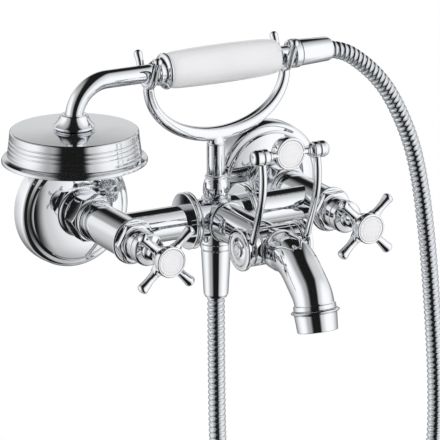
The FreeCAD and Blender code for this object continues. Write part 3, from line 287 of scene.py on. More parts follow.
def revolved(entries, base, axis, corner=0.3, columns=96):
    """A profile turned about an axis: point = base + station * axis + radius * (cos, sin). It closes
    on itself unless it starts and ends on the axis."""
    closed = entries[0][0] > 0 and entries[-1][0] > 0
    shape = rounded(outlined(entries, closed), closed, corner)
    axis = np.array(axis, float) / np.linalg.norm(axis)
    first = np.array((1.0, 0, 0)) if abs(axis[0]) < 0.9 else np.array((0, 0, 1.0))
    first = first - axis * first.dot(axis)
    first /= np.linalg.norm(first)
    second = np.cross(axis, first)
    angle = np.linspace(0, 2 * math.pi, columns, endpoint=False)
    ring = np.outer(np.cos(angle), first) + np.outer(np.sin(angle), second)
    rows = np.array(base, float) + shape[:, 1, None, None] * axis + shape[:, 0, None, None] * ring
    return rows, closed


def quads(rows, closed):
    """Joins a grid of points, round its columns, and round its rows as well where it is closed."""
    count, columns = rows.shape[:2]
    number = np.arange(count * columns).reshape(count, columns)
    if closed:
        number = np.vstack([number, number[:1]])
    a, b = number[:-1], number[1:]
    faces = np.stack([a, np.roll(a, -1, 1), np.roll(b, -1, 1), b], -1).reshape(-1, 4)
    return rows.reshape(-1, 3), faces


def add_piece(name, body, replaced, grids, material=chrome):
    """Makes one mesh of closed skins, each turned to face outwards, and fixes it to its body. A
    skin's volume is summed over its faces, and is negative where they face inwards."""
    points = []
    faces = []
    count = 0
    for grid in grids:
        spots, cells = quads(*grid)
        a, b, c, d = (spots[cells[:, k]] for k in range(4))
        volume = (a * (np.cross(b, c) + np.cross(c, d))).sum()
        if volume < 0:
            cells = cells[:, ::-1]
        points.append(spots)
        faces.append(cells + count)
        count += len(spots)
    mesh = bpy.data.meshes.new(name)
    mesh.from_pydata((np.vstack(points) * MM).tolist(), [], np.vstack(faces).tolist())
    work = bmesh.new()
    work.from_mesh(mesh)
    bmesh.ops.remove_doubles(work, verts=work.verts, dist=1e-7)
    bmesh.ops.dissolve_degenerate(work, edges=work.edges, dist=1e-8)
    work.to_mesh(mesh)
    work.free()
    mesh.shade_smooth()
    mesh.materials.append(material)
    piece = bpy.data.objects.new(name, mesh)
    bpy.context.scene.collection.objects.link(piece)
    if body:
        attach(piece, body)
    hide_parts(*replaced)
    return piece


across = (1, 0, 0)
outwards = (0, -1, 0)
upwards = (0, 0, 1)
downwards = (0, 0, -1)
inlet_half = 75.0
sides = (("left", -inlet_half), ("right", inlet_half))
cover_radius = 40.6
cover_neck_radius = 15.3
cover_neck_end = 26.0
cover_bore = 13.3
cover_profile = [
    (38.9, 0),
    (cover_radius, 0),
    (cover_radius, 4.0),
    (cover_radius - 0.4, 9.8),
    (37.0, 12.9, 39.1, 11.7),
    (35.3, 13.3),
    (33.2, 15.0, 34.3, 13.9),
    (17.6, 18.4, 25.6, 17.2),
    (15.6, 20.6, 16.1, 19.0),
    (cover_neck_radius, cover_neck_end),
    (cover_bore, cover_neck_end),
    (cover_bore, cover_neck_end - 1.4),
    (13.9, cover_neck_end - 1.4),
    (14.6, 19.2, 14.1, 20.4),
    (33.0, 13.8, 25.6, 15.8),
    (37.4, 11.2),
    (38.7, 9.2),
]
for side, x in sides:
    bell = revolved(cover_profile, (x, 0, 0), outwards, 0.5, 144)
    add_piece("wall_cover_" + side, "mixer", ["rosette_" + side], [bell])


# Union nuts: forged hexagons with both ends chamfered, plated. Each draws the mixer's flanged
# tail against a rubber washer on the supply union.
def hexagonal(x, flats, start, end, chamfer, bore, columns=180):
    """A chamfered hexagon bar along the reach axis: at each angle its radius is the smaller of the
    hexagon's, rounded at its six corners, and that of the chamfer cone at the station."""
    corner_power = 70
    cone_gap = 0.15
    edge_softness = 0.12
    half = flats / 2
    length = end - start
    angle = np.linspace(0, 2 * math.pi, columns, endpoint=False)
    facing = np.maximum(np.cos(angle[:, None] - np.radians(30 + 60 * np.arange(6))), 0)
    edge = half / (facing ** corner_power).sum(1) ** (1 / corner_power)
    tall = half / math.cos(math.pi / 6) + 0.2
    near = np.concatenate([np.linspace(0, chamfer * 1.6, 12), [chamfer * 2]])
    depth = np.concatenate([near, length - near[::-1]])
    station = np.concatenate([[start, start], start + depth, [end, end]])
    climb = np.minimum(depth, length - depth) / chamfer
    cone = half + cone_gap + (tall - half - cone_gap) * np.minimum(climb, 1.2) ** 0.9
    land = (half + bore) / 2 + 1
    cone = np.concatenate([[bore, land], cone, [land, bore]])
    shape = -edge_softness * np.logaddexp(-cone[:, None] / edge_softness, -edge[None] / edge_softness)
    ring = np.stack([np.cos(angle), np.zeros(columns), np.sin(angle)], -1)
    rows = shape[:, :, None] * ring[None]
    rows[:, :, 0] += x
    rows[:, :, 1] -= station[:, None]
    return rows, True


union_nut_flats = 29.0
union_nut_start = 26.4
union_nut_end = 39.4
union_nut_chamfer = 1.6
union_nut_bore = 11.4
union_neck_radius = 13.9
union_neck_end = 41.3
union_neck_profile = [
    (11.2, union_nut_end - 1),
    (union_neck_radius, union_nut_end - 1),
    (union_neck_radius, union_neck_end),
    (11.2, union_neck_end),
]
for side, x in sides:
    parts = [
        hexagonal(x, union_nut_flats, union_nut_start, union_nut_end, union_nut_chamfer, union_nut_bore),
        revolved(union_neck_profile, (x, 0, 0), outwards),
    ]
    add_piece("coupling_nut_" + side, "mixer", ["union_nut_" + side], parts)


# Mixer body: one brass casting, ground and plated. Two valve sleeves and a middle fitting sit on
# the crossbar, and a turned ring with a waist marks each end of the middle fitting.
bar_reach = 71.0
bar_radius = 11.4
sleeve_radius = 13.4
sleeve_end = 94.0
boss_radius = 12.8
boss_half = 19.4
front_boss_end = 86.0
top_boss_radius = 10.0
top_boss_height = 13.4
bottom_boss_radius = 11.0
bottom_boss_height = 17.6
ring_place = 21.5
ring_half = 2.8
ring_radius = 18.4
sleeve_profile = [
    (0, 33.6),
    (11.0, 33.6),
    (11.0, 41.5),
    (13.1, 41.5),
    (13.1, 43.9, 14.1, 42.7),
    (sleeve_radius, 44.1),
    (sleeve_radius, sleeve_end - 0.8),
    (sleeve_radius - 0.6, sleeve_end),
    (0, sleeve_end),
]
ring_profile = [
    (10.0, -ring_half),
    (ring_radius, -ring_half),
    (ring_radius, -0.9, ring_radius + 0.9, -1.85),
    (17.2, 0, 17.5, -0.5),
    (ring_radius, 0.9, 17.5, 0.5),
    (ring_radius, ring_half, ring_radius + 0.9, 1.85),
    (10.0, ring_half),
]


def rod_profile(radius, start, end):
    """A plain rod's profile between two stations."""
    return [(0, start), (radius, start), (radius, end), (0, end)]


centre = np.array((0, -bar_reach, 0))
middle_profile = [
    (0, -boss_half),
    (boss_radius, -boss_half),
    (boss_radius, boss_half, boss_radius + 0.2, 0),
    (0, boss_half),
]
casting = [
    revolved(rod_profile(bar_radius, -inlet_half, inlet_half), centre, across, 0.1, 128),
    revolved(middle_profile, centre, across, 0.1, 128),
    revolved(rod_profile(boss_radius, 0, front_boss_end - bar_reach), centre, outwards, 0.2, 128),
    revolved(rod_profile(top_boss_radius, 0, top_boss_height), centre, upwards, 0.3),
    revolved(rod_profile(bottom_boss_radius, 0, bottom_boss_height), centre, downwards, 0.4),
]
for way in (-1, 1):
    casting.append(revolved(sleeve_profile, (way * inlet_half, 0, 0), outwards, 0.3, 128))
    casting.append(revolved(ring_profile, (way * ring_place, -bar_reach, 0), across, 0.3, 128))
add_piece("mixer_casting", "mixer", ["mixer_body"], casting)


# Bonnets: the nuts that hold the ceramic cartridges, each with a round flange, a chamfered
# hexagon and a slim neck that the handle's ring runs behind. Turned and milled brass, plated.
bonnet_bore = 6.7
bonnet_flange_radius = 15.4
bonnet_flats = 25.6
bonnet_chamfer = 1.9
bonnet_hexagon_start = 95.0
bonnet_hexagon_end = 101.6
bonnet_end = 110.4
flange_profile = [
    (bonnet_bore, sleeve_end),
    (bonnet_flange_radius, sleeve_end),
    (bonnet_flange_radius, sleeve_end + 1.2),
    (bonnet_flange_radius - 0.9, sleeve_end + 1.9),
    (bonnet_bore, sleeve_end + 1.9),
]
bonnet_neck_profile = [
    (bonnet_bore, bonnet_hexagon_end - 1),
    (11.6, bonnet_hexagon_end - 1),
    (11.6, bonnet_hexagon_end),
    (10.6, bonnet_hexagon_end + 1.0, 10.8, bonnet_hexagon_end + 0.3),
    (10.6, bonnet_end - 0.4),
    (10.2, bonnet_end),
    (bonnet_bore, bonnet_end),
]
for side, x in sides:
    parts = [
        revolved(flange_profile, (x, 0, 0), outwards, 0.4),
        hexagonal(x, bonnet_flats, bonnet_hexagon_start, bonnet_hexagon_end, bonnet_chamfer, bonnet_bore),
        revolved(bonnet_neck_profile, (x, 0, 0), outwards, 0.25),
    ]
    add_piece("bonnet_nut_" + side, "mixer", ["bonnet_" + side], parts)


# Cross handles: cast brass, hand polished and plated. A ring and a waisted stem open like a
# trumpet into a square hub with hollow sides, and a flared arm leaves each of its corners.
hub_ring_radius = 10.9
hub_waist_radius = 5.4
plate_back = 136.2
plate_front = 143.5
side_reach = 8.4
corner_reach = 14.2
arm_root = 9.0
arm_tip = 26.8
arm_neck = 2.8
arm_end = 3.6
hub_profile = [
    (0, bonnet_end + 0.5),
    (hub_ring_radius - 0.5, bonnet_end + 0.5),
    (hub_ring_radius, 111.5),
    (hub_ring_radius, 116.2),
    (hub_ring_radius - 1.0, 117.2),
    (6.3, 118.2),
    (hub_waist_radius, 122.5, hub_waist_radius + 0.1, 119.6),
    (side_reach, 136.5, hub_waist_radius + 0.4, 130.5),
    (side_reach, 138.0),
    (0, 138.0),
]
arm_profile = [
    (0, arm_root),
    (3.6, arm_root),
    (arm_neck, 16.2, arm_neck + 0.25, 13.0),
    (arm_end, arm_tip - 3.2, arm_neck + 0.35, 20.6),
    (arm_end * 0.62, arm_tip - 0.5, arm_end * 0.97, arm_tip - 1.5),
    (0, arm_tip, arm_end * 0.33, arm_tip - 0.06),
]


def hub_plate(x):
    """A soft-edged plate whose outline reaches further at its four corners: its radius is the
    side's plus a share of the corner's further reach, which is |sin(2 * angle)| to a power."""
    corner_power = 4.2
    columns = 144
    angle = np.linspace(0, 2 * math.pi, columns, endpoint=False)
    outline = side_reach + (corner_reach - side_reach) * np.abs(np.sin(2 * angle)) ** corner_power
    t = np.linspace(0, math.pi, 33)
    share = np.sin(t) ** 0.35
    height = np.sign(np.cos(t)) * np.abs(np.cos(t)) ** 0.55
    middle = (plate_front + plate_back) / 2
    half_thick = (plate_front - plate_back) / 2
    rows = np.zeros((len(t), columns, 3))
    rows[:, :, 0] = x + share[:, None] * outline * np.cos(angle)
    rows[:, :, 1] = -(middle + half_thick * height)[:, None]
    rows[:, :, 2] = share[:, None] * outline * np.sin(angle)
    return rows, False


for side, x in sides:
    hub = (x, -(plate_front + plate_back) / 2, 0)
    parts = [revolved(hub_profile, (x, 0, 0), outwards, 0.35), hub_plate(x)]
    for k in range(4):
        angle = math.radians(45 + 90 * k)
        parts.append(revolved(arm_profile, hub, (math.cos(angle), 0, math.sin(angle)), 0.3, 48))
    add_piece("cross_" + side, side + "_handle", ["cross_handle_" + side], parts)


# Buttons: a turned bezel screwed into each handle and into the lever's knob, with a glazed
# porcelain disc bonded into it. The disc's face is plain and slightly crowned.
def button_profiles(radius, length, plug):
    """The bezel's and the disc's turned profiles, from the seat outwards."""
    lip = radius - 1.7
    disc_radius = lip - 0.08
    disc_seat = length - 1.6
    plug_radius = 6.4
    bezel = [
        (0, -plug),
        (plug_radius, -plug),
        (plug_radius, 0),
        (radius, 0),
        (radius, length - 0.9),
        (lip + 0.4, length, radius - 0.35, length - 0.2),
        (lip, length - 0.2),
        (lip, disc_seat),
        (0, disc_seat),
    ]
    disc = [
        (0, disc_seat),
        (disc_radius, disc_seat),
        (disc_radius, length - 0.3),
        (lip - 0.8, length + 0.2, lip - 0.2, length + 0.1),
        (lip - 1.5, length + 0.3),
        (lip - 1.8, length + 0.05),
        (lip - 2.1, length + 0.35),
        (0, length + 0.8, lip * 0.42, length + 0.7),
    ]
    return bezel, disc


# Porcelain: white-glazed ceramic. The body is slightly cool, and the clear glaze over it is
# glassy, with the shallow orange peel that firing leaves.
porcelain, tree, shader, place = new_material("white glazed porcelain", "#FAFAFC", 0.22)
shader.inputs["IOR"].default_value = 1.52
shader.inputs["Coat Weight"].default_value = 0.7
shader.inputs["Coat Roughness"].default_value = 0.04
clouds = add_node(tree, "ShaderNodeTexNoise", {"Vector": place, "Scale": spaced(20), "Detail": 2.0})
tints = {0: clouds, 6: linear("#FDFDFF"), 7: linear("#F6F6F9")}
add_node(tree, "ShaderNodeMix", tints, shader.inputs["Base Color"], output=2, data_type="RGBA")
peel = add_node(tree, "ShaderNodeTexNoise", {"Vector": place, "Scale": spaced(3), "Detail": 1.0})
relief = {"Height": peel, "Strength": 0.05, "Distance": 0.2 * MM}
add_node(tree, "ShaderNodeBump", relief, shader.inputs["Normal"])
bezel, disc = button_profiles(radius=10.4, length=4.0, plug=5.4)
for side, x in sides:
    body = side + "_handle"
    seat = (x, -plate_front, 0)
    add_piece("bezel_" + side, body, ["handle_bezel_" + side], [revolved(bezel, seat, outwards)])
    skin = revolved(disc, seat, outwards)
    add_piece("button_" + side, body, ["handle_disc_" + side], [skin], porcelain)


# Diverter: a short arm from the middle fitting to a drum that lies across it. Cast and turned
# brass, plated, with a V groove near each end of the drum.
drum_reach = 144.4
drum_radius = 12.2
drum_half = 17.6
groove_place = 12.4
groove_depth = 0.8
collar_radius = 12.0
collar_length = 13.0
axle = np.array((0, -drum_reach, 0))
diverter_arm_profile = [
    (0, front_boss_end),
    (13.2, front_boss_end),
    (13.2, 89.0, 14.3, 87.5),
    (13.0, 89.0),
    (13.0, 133.0),
    (11.4, 140.0, 12.5, 136.4),
    (0, 140.0),
]
drum_end = [
    (0, drum_half),
    (drum_radius - 0.6, drum_half),
    (drum_radius, drum_half - 0.6),
    (drum_radius, groove_place + groove_depth),
    (drum_radius - groove_depth, groove_place),
    (drum_radius, groove_place - groove_depth),
]
drum_profile = [(radius, -place) for radius, place in drum_end] + drum_end[::-1]
collar_profile = [
    (0, 0),
    (collar_radius, 0),
    (collar_radius, collar_length - 2.6),
    (collar_radius + 1.4, collar_length - 1.6),
    (collar_radius + 1.4, collar_length),
    (0, collar_length),
]
parts = [
    revolved(diverter_arm_profile, (0, 0, 0), outwards, 0.3, 128),
    revolved(drum_profile, axle, across, 0.25, 128),
    revolved(collar_profile, axle, outwards, 0.4, 128),
]
add_piece("diverter_housing", "mixer", ["diverter_body"], parts)


# Stirrup lever: two rings on the diverter's axle, two slender bent legs, and a bar with turned
# barrels that carries the knob. Forged and turned brass, plated.
def bent_line(corners, radii):
    """Points along straight runs joined by tangent arcs. Each arc's centre lies on the inner side
    of its corner, and its points swing from the first run's normal to the second's."""
    corners = np.array(corners, float)
    line = [corners[0]]
    for k, radius in enumerate(radii):
        before = corners[k + 1] - corners[k]
        after = corners[k + 2] - corners[k + 1]
        before /= np.linalg.norm(before)
        after /= np.linalg.norm(after)
        swing = math.acos(np.clip(before.dot(after), -1, 1))
        start = corners[k + 1] - before * radius * math.tan(swing / 2)
        inward = after - before * before.dot(after)
        inward /= np.linalg.norm(inward)
        t = np.linspace(0, swing, 17)[:, None]
        arc = start + inward * radius + radius * (before * np.sin(t) - inward * np.cos(t))
        line += list(np.linspace(line[-1], arc[0], 6)[1:-1]) + list(arc)
    line += list(np.linspace(line[-1], corners[-1], 6)[1:])
    return np.array(line)


def squares(line, steady):
    """Two unit vectors square to a line at each of its points: a side, which lies nearest to a
    steady direction, and a lift, which is square to the line and to the side."""
    heading = np.gradient(line, axis=0)
    heading /= np.linalg.norm(heading, axis=1)[:, None]
    side = steady - heading * (heading @ steady)[:, None]
    side /= np.linalg.norm(side, axis=1)[:, None]
    return side, np.cross(heading, side)


def tube_grid(line, offsets):
    """A tube's points, which are a line's points plus their offsets, with a pole at each end."""
    start, end = (np.repeat(line[[k]][:, None], offsets.shape[1], 1) for k in (0, -1))
    return np.concatenate([start, line[:, None] + offsets, end]), False


def carried(line, radii, steady, columns=40):
    """A round section carried along a line: point = line + radius * (cos * side + sin * lift)."""
    side, lift = squares(line, np.array(steady, float))
    angle = np.linspace(0, 2 * math.pi, columns, endpoint=False)[:, None]
    ring = np.cos(angle) * side[:, None] + np.sin(angle) * lift[:, None]
    return tube_grid(line, np.broadcast_to(radii, len(line))[:, None, None] * ring)


lever_ring_inner = 18.0
lever_ring_outer = 22.5
lever_ring_bore = 4.1
lever_ring_radius = 12.4
leg_place = 20.25
leg_bend = 50.0
leg_radius = 2.05
leg_swell = 0.55
bar_centre = np.array((0, -168.0, 67.6))
barrel_radius = 5.4
barrel_place = leg_place - 6.7
stub_radius = 2.0
knob_radius = 10.2
knob_depth = 7.0
knob_back = bar_centre + np.array((0, 9.0, 0))
lever_ring_profile = [
    (lever_ring_bore, lever_ring_inner),
    (lever_ring_radius - 0.5, lever_ring_inner),
    (lever_ring_radius, lever_ring_inner + 0.5),
    (lever_ring_radius, lever_ring_outer - 2.0),
    (lever_ring_radius - 0.6, lever_ring_outer - 1.6),
    (10.4, lever_ring_outer - 1.6),
    (10.4, lever_ring_outer - 0.5),
    (lever_ring_bore, lever_ring_outer - 0.5),
]
barrel_profile = [
    (0, 3.0),
    (4.2, 3.0),
    (barrel_radius, 4.0, barrel_radius - 0.3, 3.3),
    (barrel_radius, 6.6),
    (barrel_radius - 0.6, 7.3),
    (barrel_radius, 8.0),
    (barrel_radius, 10.6),
    (4.9, 12.6, 5.35, 11.6),
    (0, 14.6, 3.4, 14.2),
]
stub_profile = [
    (0, 8.6),
    (stub_radius, 8.6),
    (stub_radius, barrel_place - 0.6),
    (stub_radius + 1.4, barrel_place + 0.4),
    (stub_radius + 1.4, barrel_place + 1.6),
    (stub_radius + 0.4, barrel_place + 2.6),
    (0, barrel_place + 3.1),
]
knob_profile = [
    (0, 0),
    (5.6, 0),
    (knob_radius - 0.3, 4.0, 8.9, 1.0),
    (knob_radius, 6.4),
    (knob_radius, knob_depth),
    (0, knob_depth),
]
parts = [revolved(knob_profile, knob_back, outwards, 0.4)]
for way in (-1, 1):
    side_way = (way, 0, 0)
    foot = (way * leg_place, -drum_reach - 10.7, 3.4)
    knee = (way * leg_place, -170.8, 46.0)
    top = (way * leg_place, bar_centre[1], bar_centre[2])
    leg = bent_line([foot, knee, top], [leg_bend])
    leg_radii = leg_radius + leg_swell * np.sin(np.linspace(0.2, 2.6, len(leg)))
    barrel_base = bar_centre + np.array((way * barrel_place, 0, 0))
    parts.append(revolved(lever_ring_profile, axle, side_way, 0.3))
    parts.append(carried(leg, leg_radii, across))
    parts.append(revolved(barrel_profile, barrel_base, side_way, 0.3, 64))
    parts.append(revolved(stub_profile, bar_centre, side_way, 0.3, 48))
add_piece("stirrup_lever", "lever", ["diverter_lever"], parts)

# The knob's bezel and button are the handles' own, a little wider, and a turned cap with a raised
# rim and a small raised ring round its middle closes each end of the axle.
knob_seat = knob_back + np.array((0, -knob_depth, 0))
bezel, disc = button_profiles(radius=10.8, length=4.0, plug=2.8)
add_piece("knob_bezel", "lever", ["lever_bezel"], [revolved(bezel, knob_seat, outwards)])
skin = revolved(disc, knob_seat, outwards)
add_piece("knob_button", "lever", ["lever_disc"], [skin], porcelain)
cap_rim_radius = 14.3
cap_shank_radius = 1.8
cap_profile = [
    (0, -7),
    (cap_shank_radius, -7),
    (cap_shank_radius, 0),
    (10.2, 0),
    (10.2, -1.4),
    (cap_rim_radius - 0.3, -1.4),
    (cap_rim_radius, -0.8),
    (cap_rim_radius, 0.4),
    (12.6, 1.9, 13.9, 1.5),
    (11.2, 2.0),
    (10.6, 1.3),
    (8.6, 1.1),
    (5.4, 1.9, 7.0, 1.3),
    (4.6, 2.9),
    (3.2, 3.1),
    (2.6, 2.5),
    (0, 2.4),
]
cap_place = lever_ring_outer + 0.1
for side, way in (("left", -1), ("right", 1)):
    cap_base = axle + np.array((way * cap_place, 0, 0))
    skin = revolved(cap_profile, cap_base, (way, 0, 0))
    add_piece("lever_end_" + side, "lever", ["lever_cap_" + side], [skin])


# Spout: a drawn brass tube, bent down and plated, with a turned collar. A screwed nozzle with a
# rolled bead holds the aerator's moulded grid.
spout_start = 157.5
spout_radius = 13.0
spout_bend = 176.0
spout_bend_radius = 29.0
spout_fall_reach = 199.4
spout_fall = 20.0
spout_fall_radius = 18.0
spout_tip_length = 5.9
spout_bore = 10.8
root_swell = 0.7
root_swell_place = 4.0
root_swell_width = 3.0
tip_slope = math.radians(75)
tip_axis = np.array((0, -math.cos(tip_slope), -math.sin(tip_slope)))
fall = np.array((0, -spout_fall_reach, -spout_fall))
tip = fall + tip_axis * spout_tip_length
spout_corners = [(0, -spout_start, 0), (0, -spout_bend, 0), fall, tip]
spout_line = bent_line(spout_corners, [spout_bend_radius, spout_fall_radius])
from_root = np.abs(spout_line[:, 1]) - spout_start
swell = root_swell * np.exp(-((from_root - root_swell_place) / root_swell_width) ** 2)
spout_collar_profile = [
    (spout_bore, -1.9),
    (spout_radius, -1.9),
    (spout_radius + 0.9, -0.7, spout_radius + 0.3, -0.9),
    (spout_radius + 0.9, 2.2),
    (spout_bore, 2.2),
]
parts = [
    carried(spout_line, spout_radius + swell, across, 96),
    revolved(spout_collar_profile, tip, tip_axis, 0.35),
]
add_piece("spout_tube", "mixer", ["spout"], parts)
nozzle_profile = [
    (spout_bore, 2.3),
    (14.4, 2.3),
    (14.4, 4.7, 15.9, 3.5),
    (14.0, 5.2),
    (13.2, 16.1),
    (12.8, 16.5),
    (11.9, 16.5),
    (11.9, 4.5),
    (spout_bore, 4.5),
]
add_piece("spout_tip", "mixer", ["spout_nozzle"], [revolved(nozzle_profile, tip, tip_axis, 0.35)])


# Riser: a turned column with a swelling foot and a small bead, screwed into the top boss. The
# cradle's stem sits on its upper end.
riser_radius = 6.15
riser_height = 37.0
riser_foot_radius = 8.8
riser_profile = [
    (0, -7.6),
    (6.4, -7.6),
    (6.4, 0),
    (7.3, 0),
    (riser_foot_radius, 5.6, riser_foot_radius - 0.3, 2.2),
    (7.1, 12.8, 8.3, 9.8),
    (6.5, 13.6),
    (6.5, 15.8, 7.5, 14.7),
    (riser_radius, 16.1),
    (riser_radius, riser_height),
    (0, riser_height),
]
riser_base = centre + np.array((0, 0, top_boss_height))
add_piece("riser_column", "mixer", ["riser"], [revolved(riser_profile, riser_base, upwards)])


# Cradle: a cast crescent, thin at its ends, with an open fork of bent wire brazed on each end for
# the hand shower's two journals. Polished and plated.
def strap(line, half_thick, half_deep, columns=48):
    """A strap carried along an upright line: point = line + half_thick * c * lift + half_deep * s *
    side, where c and s are cos and sin to the power 0.75, which keeps the corners full and soft."""
    side, lift = squares(line, np.array((0, 1.0, 0)))
    angle = np.linspace(0, 2 * math.pi, columns, endpoint=False)[:, None]
    c = np.sign(np.cos(angle)) * np.abs(np.cos(angle)) ** 0.75
    s = np.sign(np.sin(angle)) * np.abs(np.sin(angle)) ** 0.75
    across_line = half_thick[:, None, None] * c * lift[:, None]
    return tube_grid(line, across_line + half_deep[:, None, None] * s * side[:, None])


def run_along(line):
    """How far along a line each of its points lies."""
    return np.concatenate([[0], np.cumsum(np.linalg.norm(np.diff(line, axis=0), axis=1))])


def resampled(line, places):
    """The points that lie at the given places along a line."""
    run = run_along(line)
    return np.stack([np.interp(places, run, line[:, k]) for k in range(3)], -1)


yoke_middle = 1.0
yoke_height = 95.0
yoke_span = 51.5
yoke_drop = 36.1
strap_end = 6.6
strap_bottom = 9.4
strap_growth = (strap_bottom - strap_end) / 2
strap_half_depth = 3.5
strap_depth_growth = 0.7
t = np.linspace(math.pi, 2 * math.pi, 97)
low = np.sin(-t)
yoke_x = yoke_middle + yoke_span * np.cos(t)
yoke_z = yoke_height - (yoke_drop + strap_growth) * low
yoke_line = np.stack([yoke_x, np.full(len(t), -bar_reach), yoke_z], -1)
half_thick = strap_end / 2 + strap_growth * low ** 2
parts = [strap(yoke_line, half_thick, strap_half_depth + strap_depth_growth * low)]

# The stem has a round foot on the riser's end, and flares into the crescent above it.
stem_radius = 6.2
stem_half_wide = 5.6
stem_half_deep = 4.1
stem_spread = 9.0
stem_height = 8.8
stem_base = riser_base + np.array((0, 0, riser_height + 0.1))
parts.append(revolved(rod_profile(stem_radius, 0, 1.0), stem_base, upwards))
climb = np.linspace(0, 1, 25)
stem_line = stem_base + np.outer(climb * stem_height, upwards)
half_wide = stem_half_wide + stem_spread * climb ** 4
parts.append(strap(stem_line, half_wide, np.full(len(climb), stem_half_deep)))

# Each fork's wire is bent round below its journal. Its two arms lean apart, flare a little more
# towards their ends, and end in rounded tips, slightly thicker than the wire.
handset_height = 105.0
fork_middle = 0.6
fork_radius = 2.5
fork_bend = 8.65
fork_slope = math.radians(20)
fork_rise = 12.6
flare_start = 4.0
fork_flare = 1.6
bulb_share = 0.13
bulb_place = 2.6
bulb_width = 2.2
fork_root = fork_bend / math.sin(fork_slope)
fork_foot_profile = [(0, 0), (2.7, 0), (2.5, 2.4), (0, 2.6)]
shares = np.concatenate([np.linspace(0, 0.06, 9), np.linspace(0.1, 0.9, 45), np.linspace(0.94, 1, 9)])
for way in (-1, 1):
    journal = np.array((fork_middle + way * yoke_span, -bar_reach, handset_height))
    root = journal - np.array((0, 0, fork_root))
    arm_height = fork_rise + fork_root
    arm_spread = arm_height * math.tan(fork_slope)
    ends = [root + np.array((0, k * arm_spread, arm_height)) for k in (1, -1)]
    line = bent_line([ends[0], root, ends[1]], [fork_bend])
    line = resampled(line, shares * run_along(line)[-1])
    above = line[:, 2] - handset_height - flare_start
    flare = fork_flare * np.clip(above / (fork_rise - flare_start), 0, 1) ** 2
    line[:, 1] += np.sign(line[:, 1] + bar_reach) * flare
    run = run_along(line)
    from_end = np.minimum(run, run[-1] - run)
    dome = np.sqrt(1 - (1 - np.clip(from_end / fork_radius, 0.0, 1)) ** 2)
    bulb = 1 + bulb_share * np.exp(-((from_end - bulb_place) / bulb_width) ** 2)
    parts.append(carried(line, fork_radius * bulb * dome, across))
    foot = journal - np.array((0, 0, handset_height - yoke_height + 0.8))
    parts.append(revolved(fork_foot_profile, foot, upwards, 0.3, 32))
add_piece("cradle_yoke", "mixer", ["cradle"], parts)


# Hand shower's grip: a slip-cast porcelain sleeve, glazed inside and out, slightly fuller in its
# middle. A hidden stay clamps it between two turned ferrules.
grip_bore = 6.6
grip_front = -36.9
grip_back = 44.9
grip_line = np.array((0, -bar_reach, handset_height))
grip_profile = [
    (grip_bore, grip_front),
    (10.6, grip_front),
    (11.2, grip_front + 0.7),
    (12.3, -29.6, 11.95, -33.2),
    (12.95, 3.0, 12.8, -14.0),
    (12.45, 30.0, 12.82, 17.0),
    (11.2, 43.6, 12.0, 38.0),
    (10.2, grip_back, 10.9, 44.6),
    (grip_bore, grip_back),
]
front_profile = [
    (6.1, 37.0),
    (11.2, 37.0),
    (11.2, 39.8, 12.2, 38.4),
    (9.9, 40.3),
    (9.0, 44.6, 9.0, 41.8),
    (7.9, 45.7),
    (7.5, 47.5),
    (6.1, 47.5),
]
rear_profile = [
    (3.9, 45.0),
    (10.0, 45.0),
    (6.0, 49.0, 7.3, 46.6),
    (6.0, 56.6),
    (9.3, 56.6),
    (9.8, 57.4),
    (9.8, 61.5),
    (9.3, 62.0),
    (3.9, 62.0),
]
skin = revolved(grip_profile, grip_line, across, 0.4, 128)
add_piece("grip_sleeve", "handset", ["grip"], [skin], porcelain)
add_piece("ferrule_front", "handset", ["front_ferrule"], [revolved(front_profile, grip_line, (-1, 0, 0))])
add_piece("ferrule_rear", "handset", ["rear_ferrule"], [revolved(rear_profile, grip_line, across)])


# Neck: a thin brass tube, plated, and bent a quarter turn from the grip's axis down into the
# head. The front ferrule and the cone nut hold its two ends.
head_offset = 105.4
neck_radius = 6.0
neck_bend = 24.0
neck_start = (-44.2, -bar_reach, handset_height)
neck_corner = (-head_offset, -bar_reach, handset_height)
neck_end = (-head_offset, -bar_reach, 78.2)
neck_line = bent_line([neck_start, neck_corner, neck_end], [neck_bend])
add_piece("neck", "handset", ["neck_tube"], [carried(neck_line, neck_radius, (0, 1, 0), 72)])


# Head: a spun and turned brass bell with four fine ribs round its side, a rolled rim below, and a
# cone nut that seats on its crown. The spray plate and its soft nozzles fill its mouth.
#
# Spun chrome: the plate over turned brass keeps the lathe's fine rings, level round the head, so
# its mirror is duller than the castings' and streaky. The rings are drawn about 1 mm apart.
spun_chrome, tree, shader, place = new_material("plated spun brass", "#E6E8EB", 0.14, 1.0)
round_head = add_node(tree, "ShaderNodeMapping", {"Vector": place, "Scale": (0.04, 0.04, 1.0)})
lathe_rings = {"Vector": round_head, "Scale": spaced(1), "Detail": 3.0, "Roughness": 0.7}
rings = add_node(tree, "ShaderNodeTexNoise", lathe_rings)
dullness = {"Value": rings, "From Min": 0.3, "From Max": 0.7, "To Min": 0.03, "To Max": 0.13}
add_node(tree, "ShaderNodeMapRange", dullness, shader.inputs["Roughness"])
relief = {"Height": rings, "Strength": 0.1, "Distance": 0.2 * MM}
add_node(tree, "ShaderNodeBump", relief, shader.inputs["Normal"])

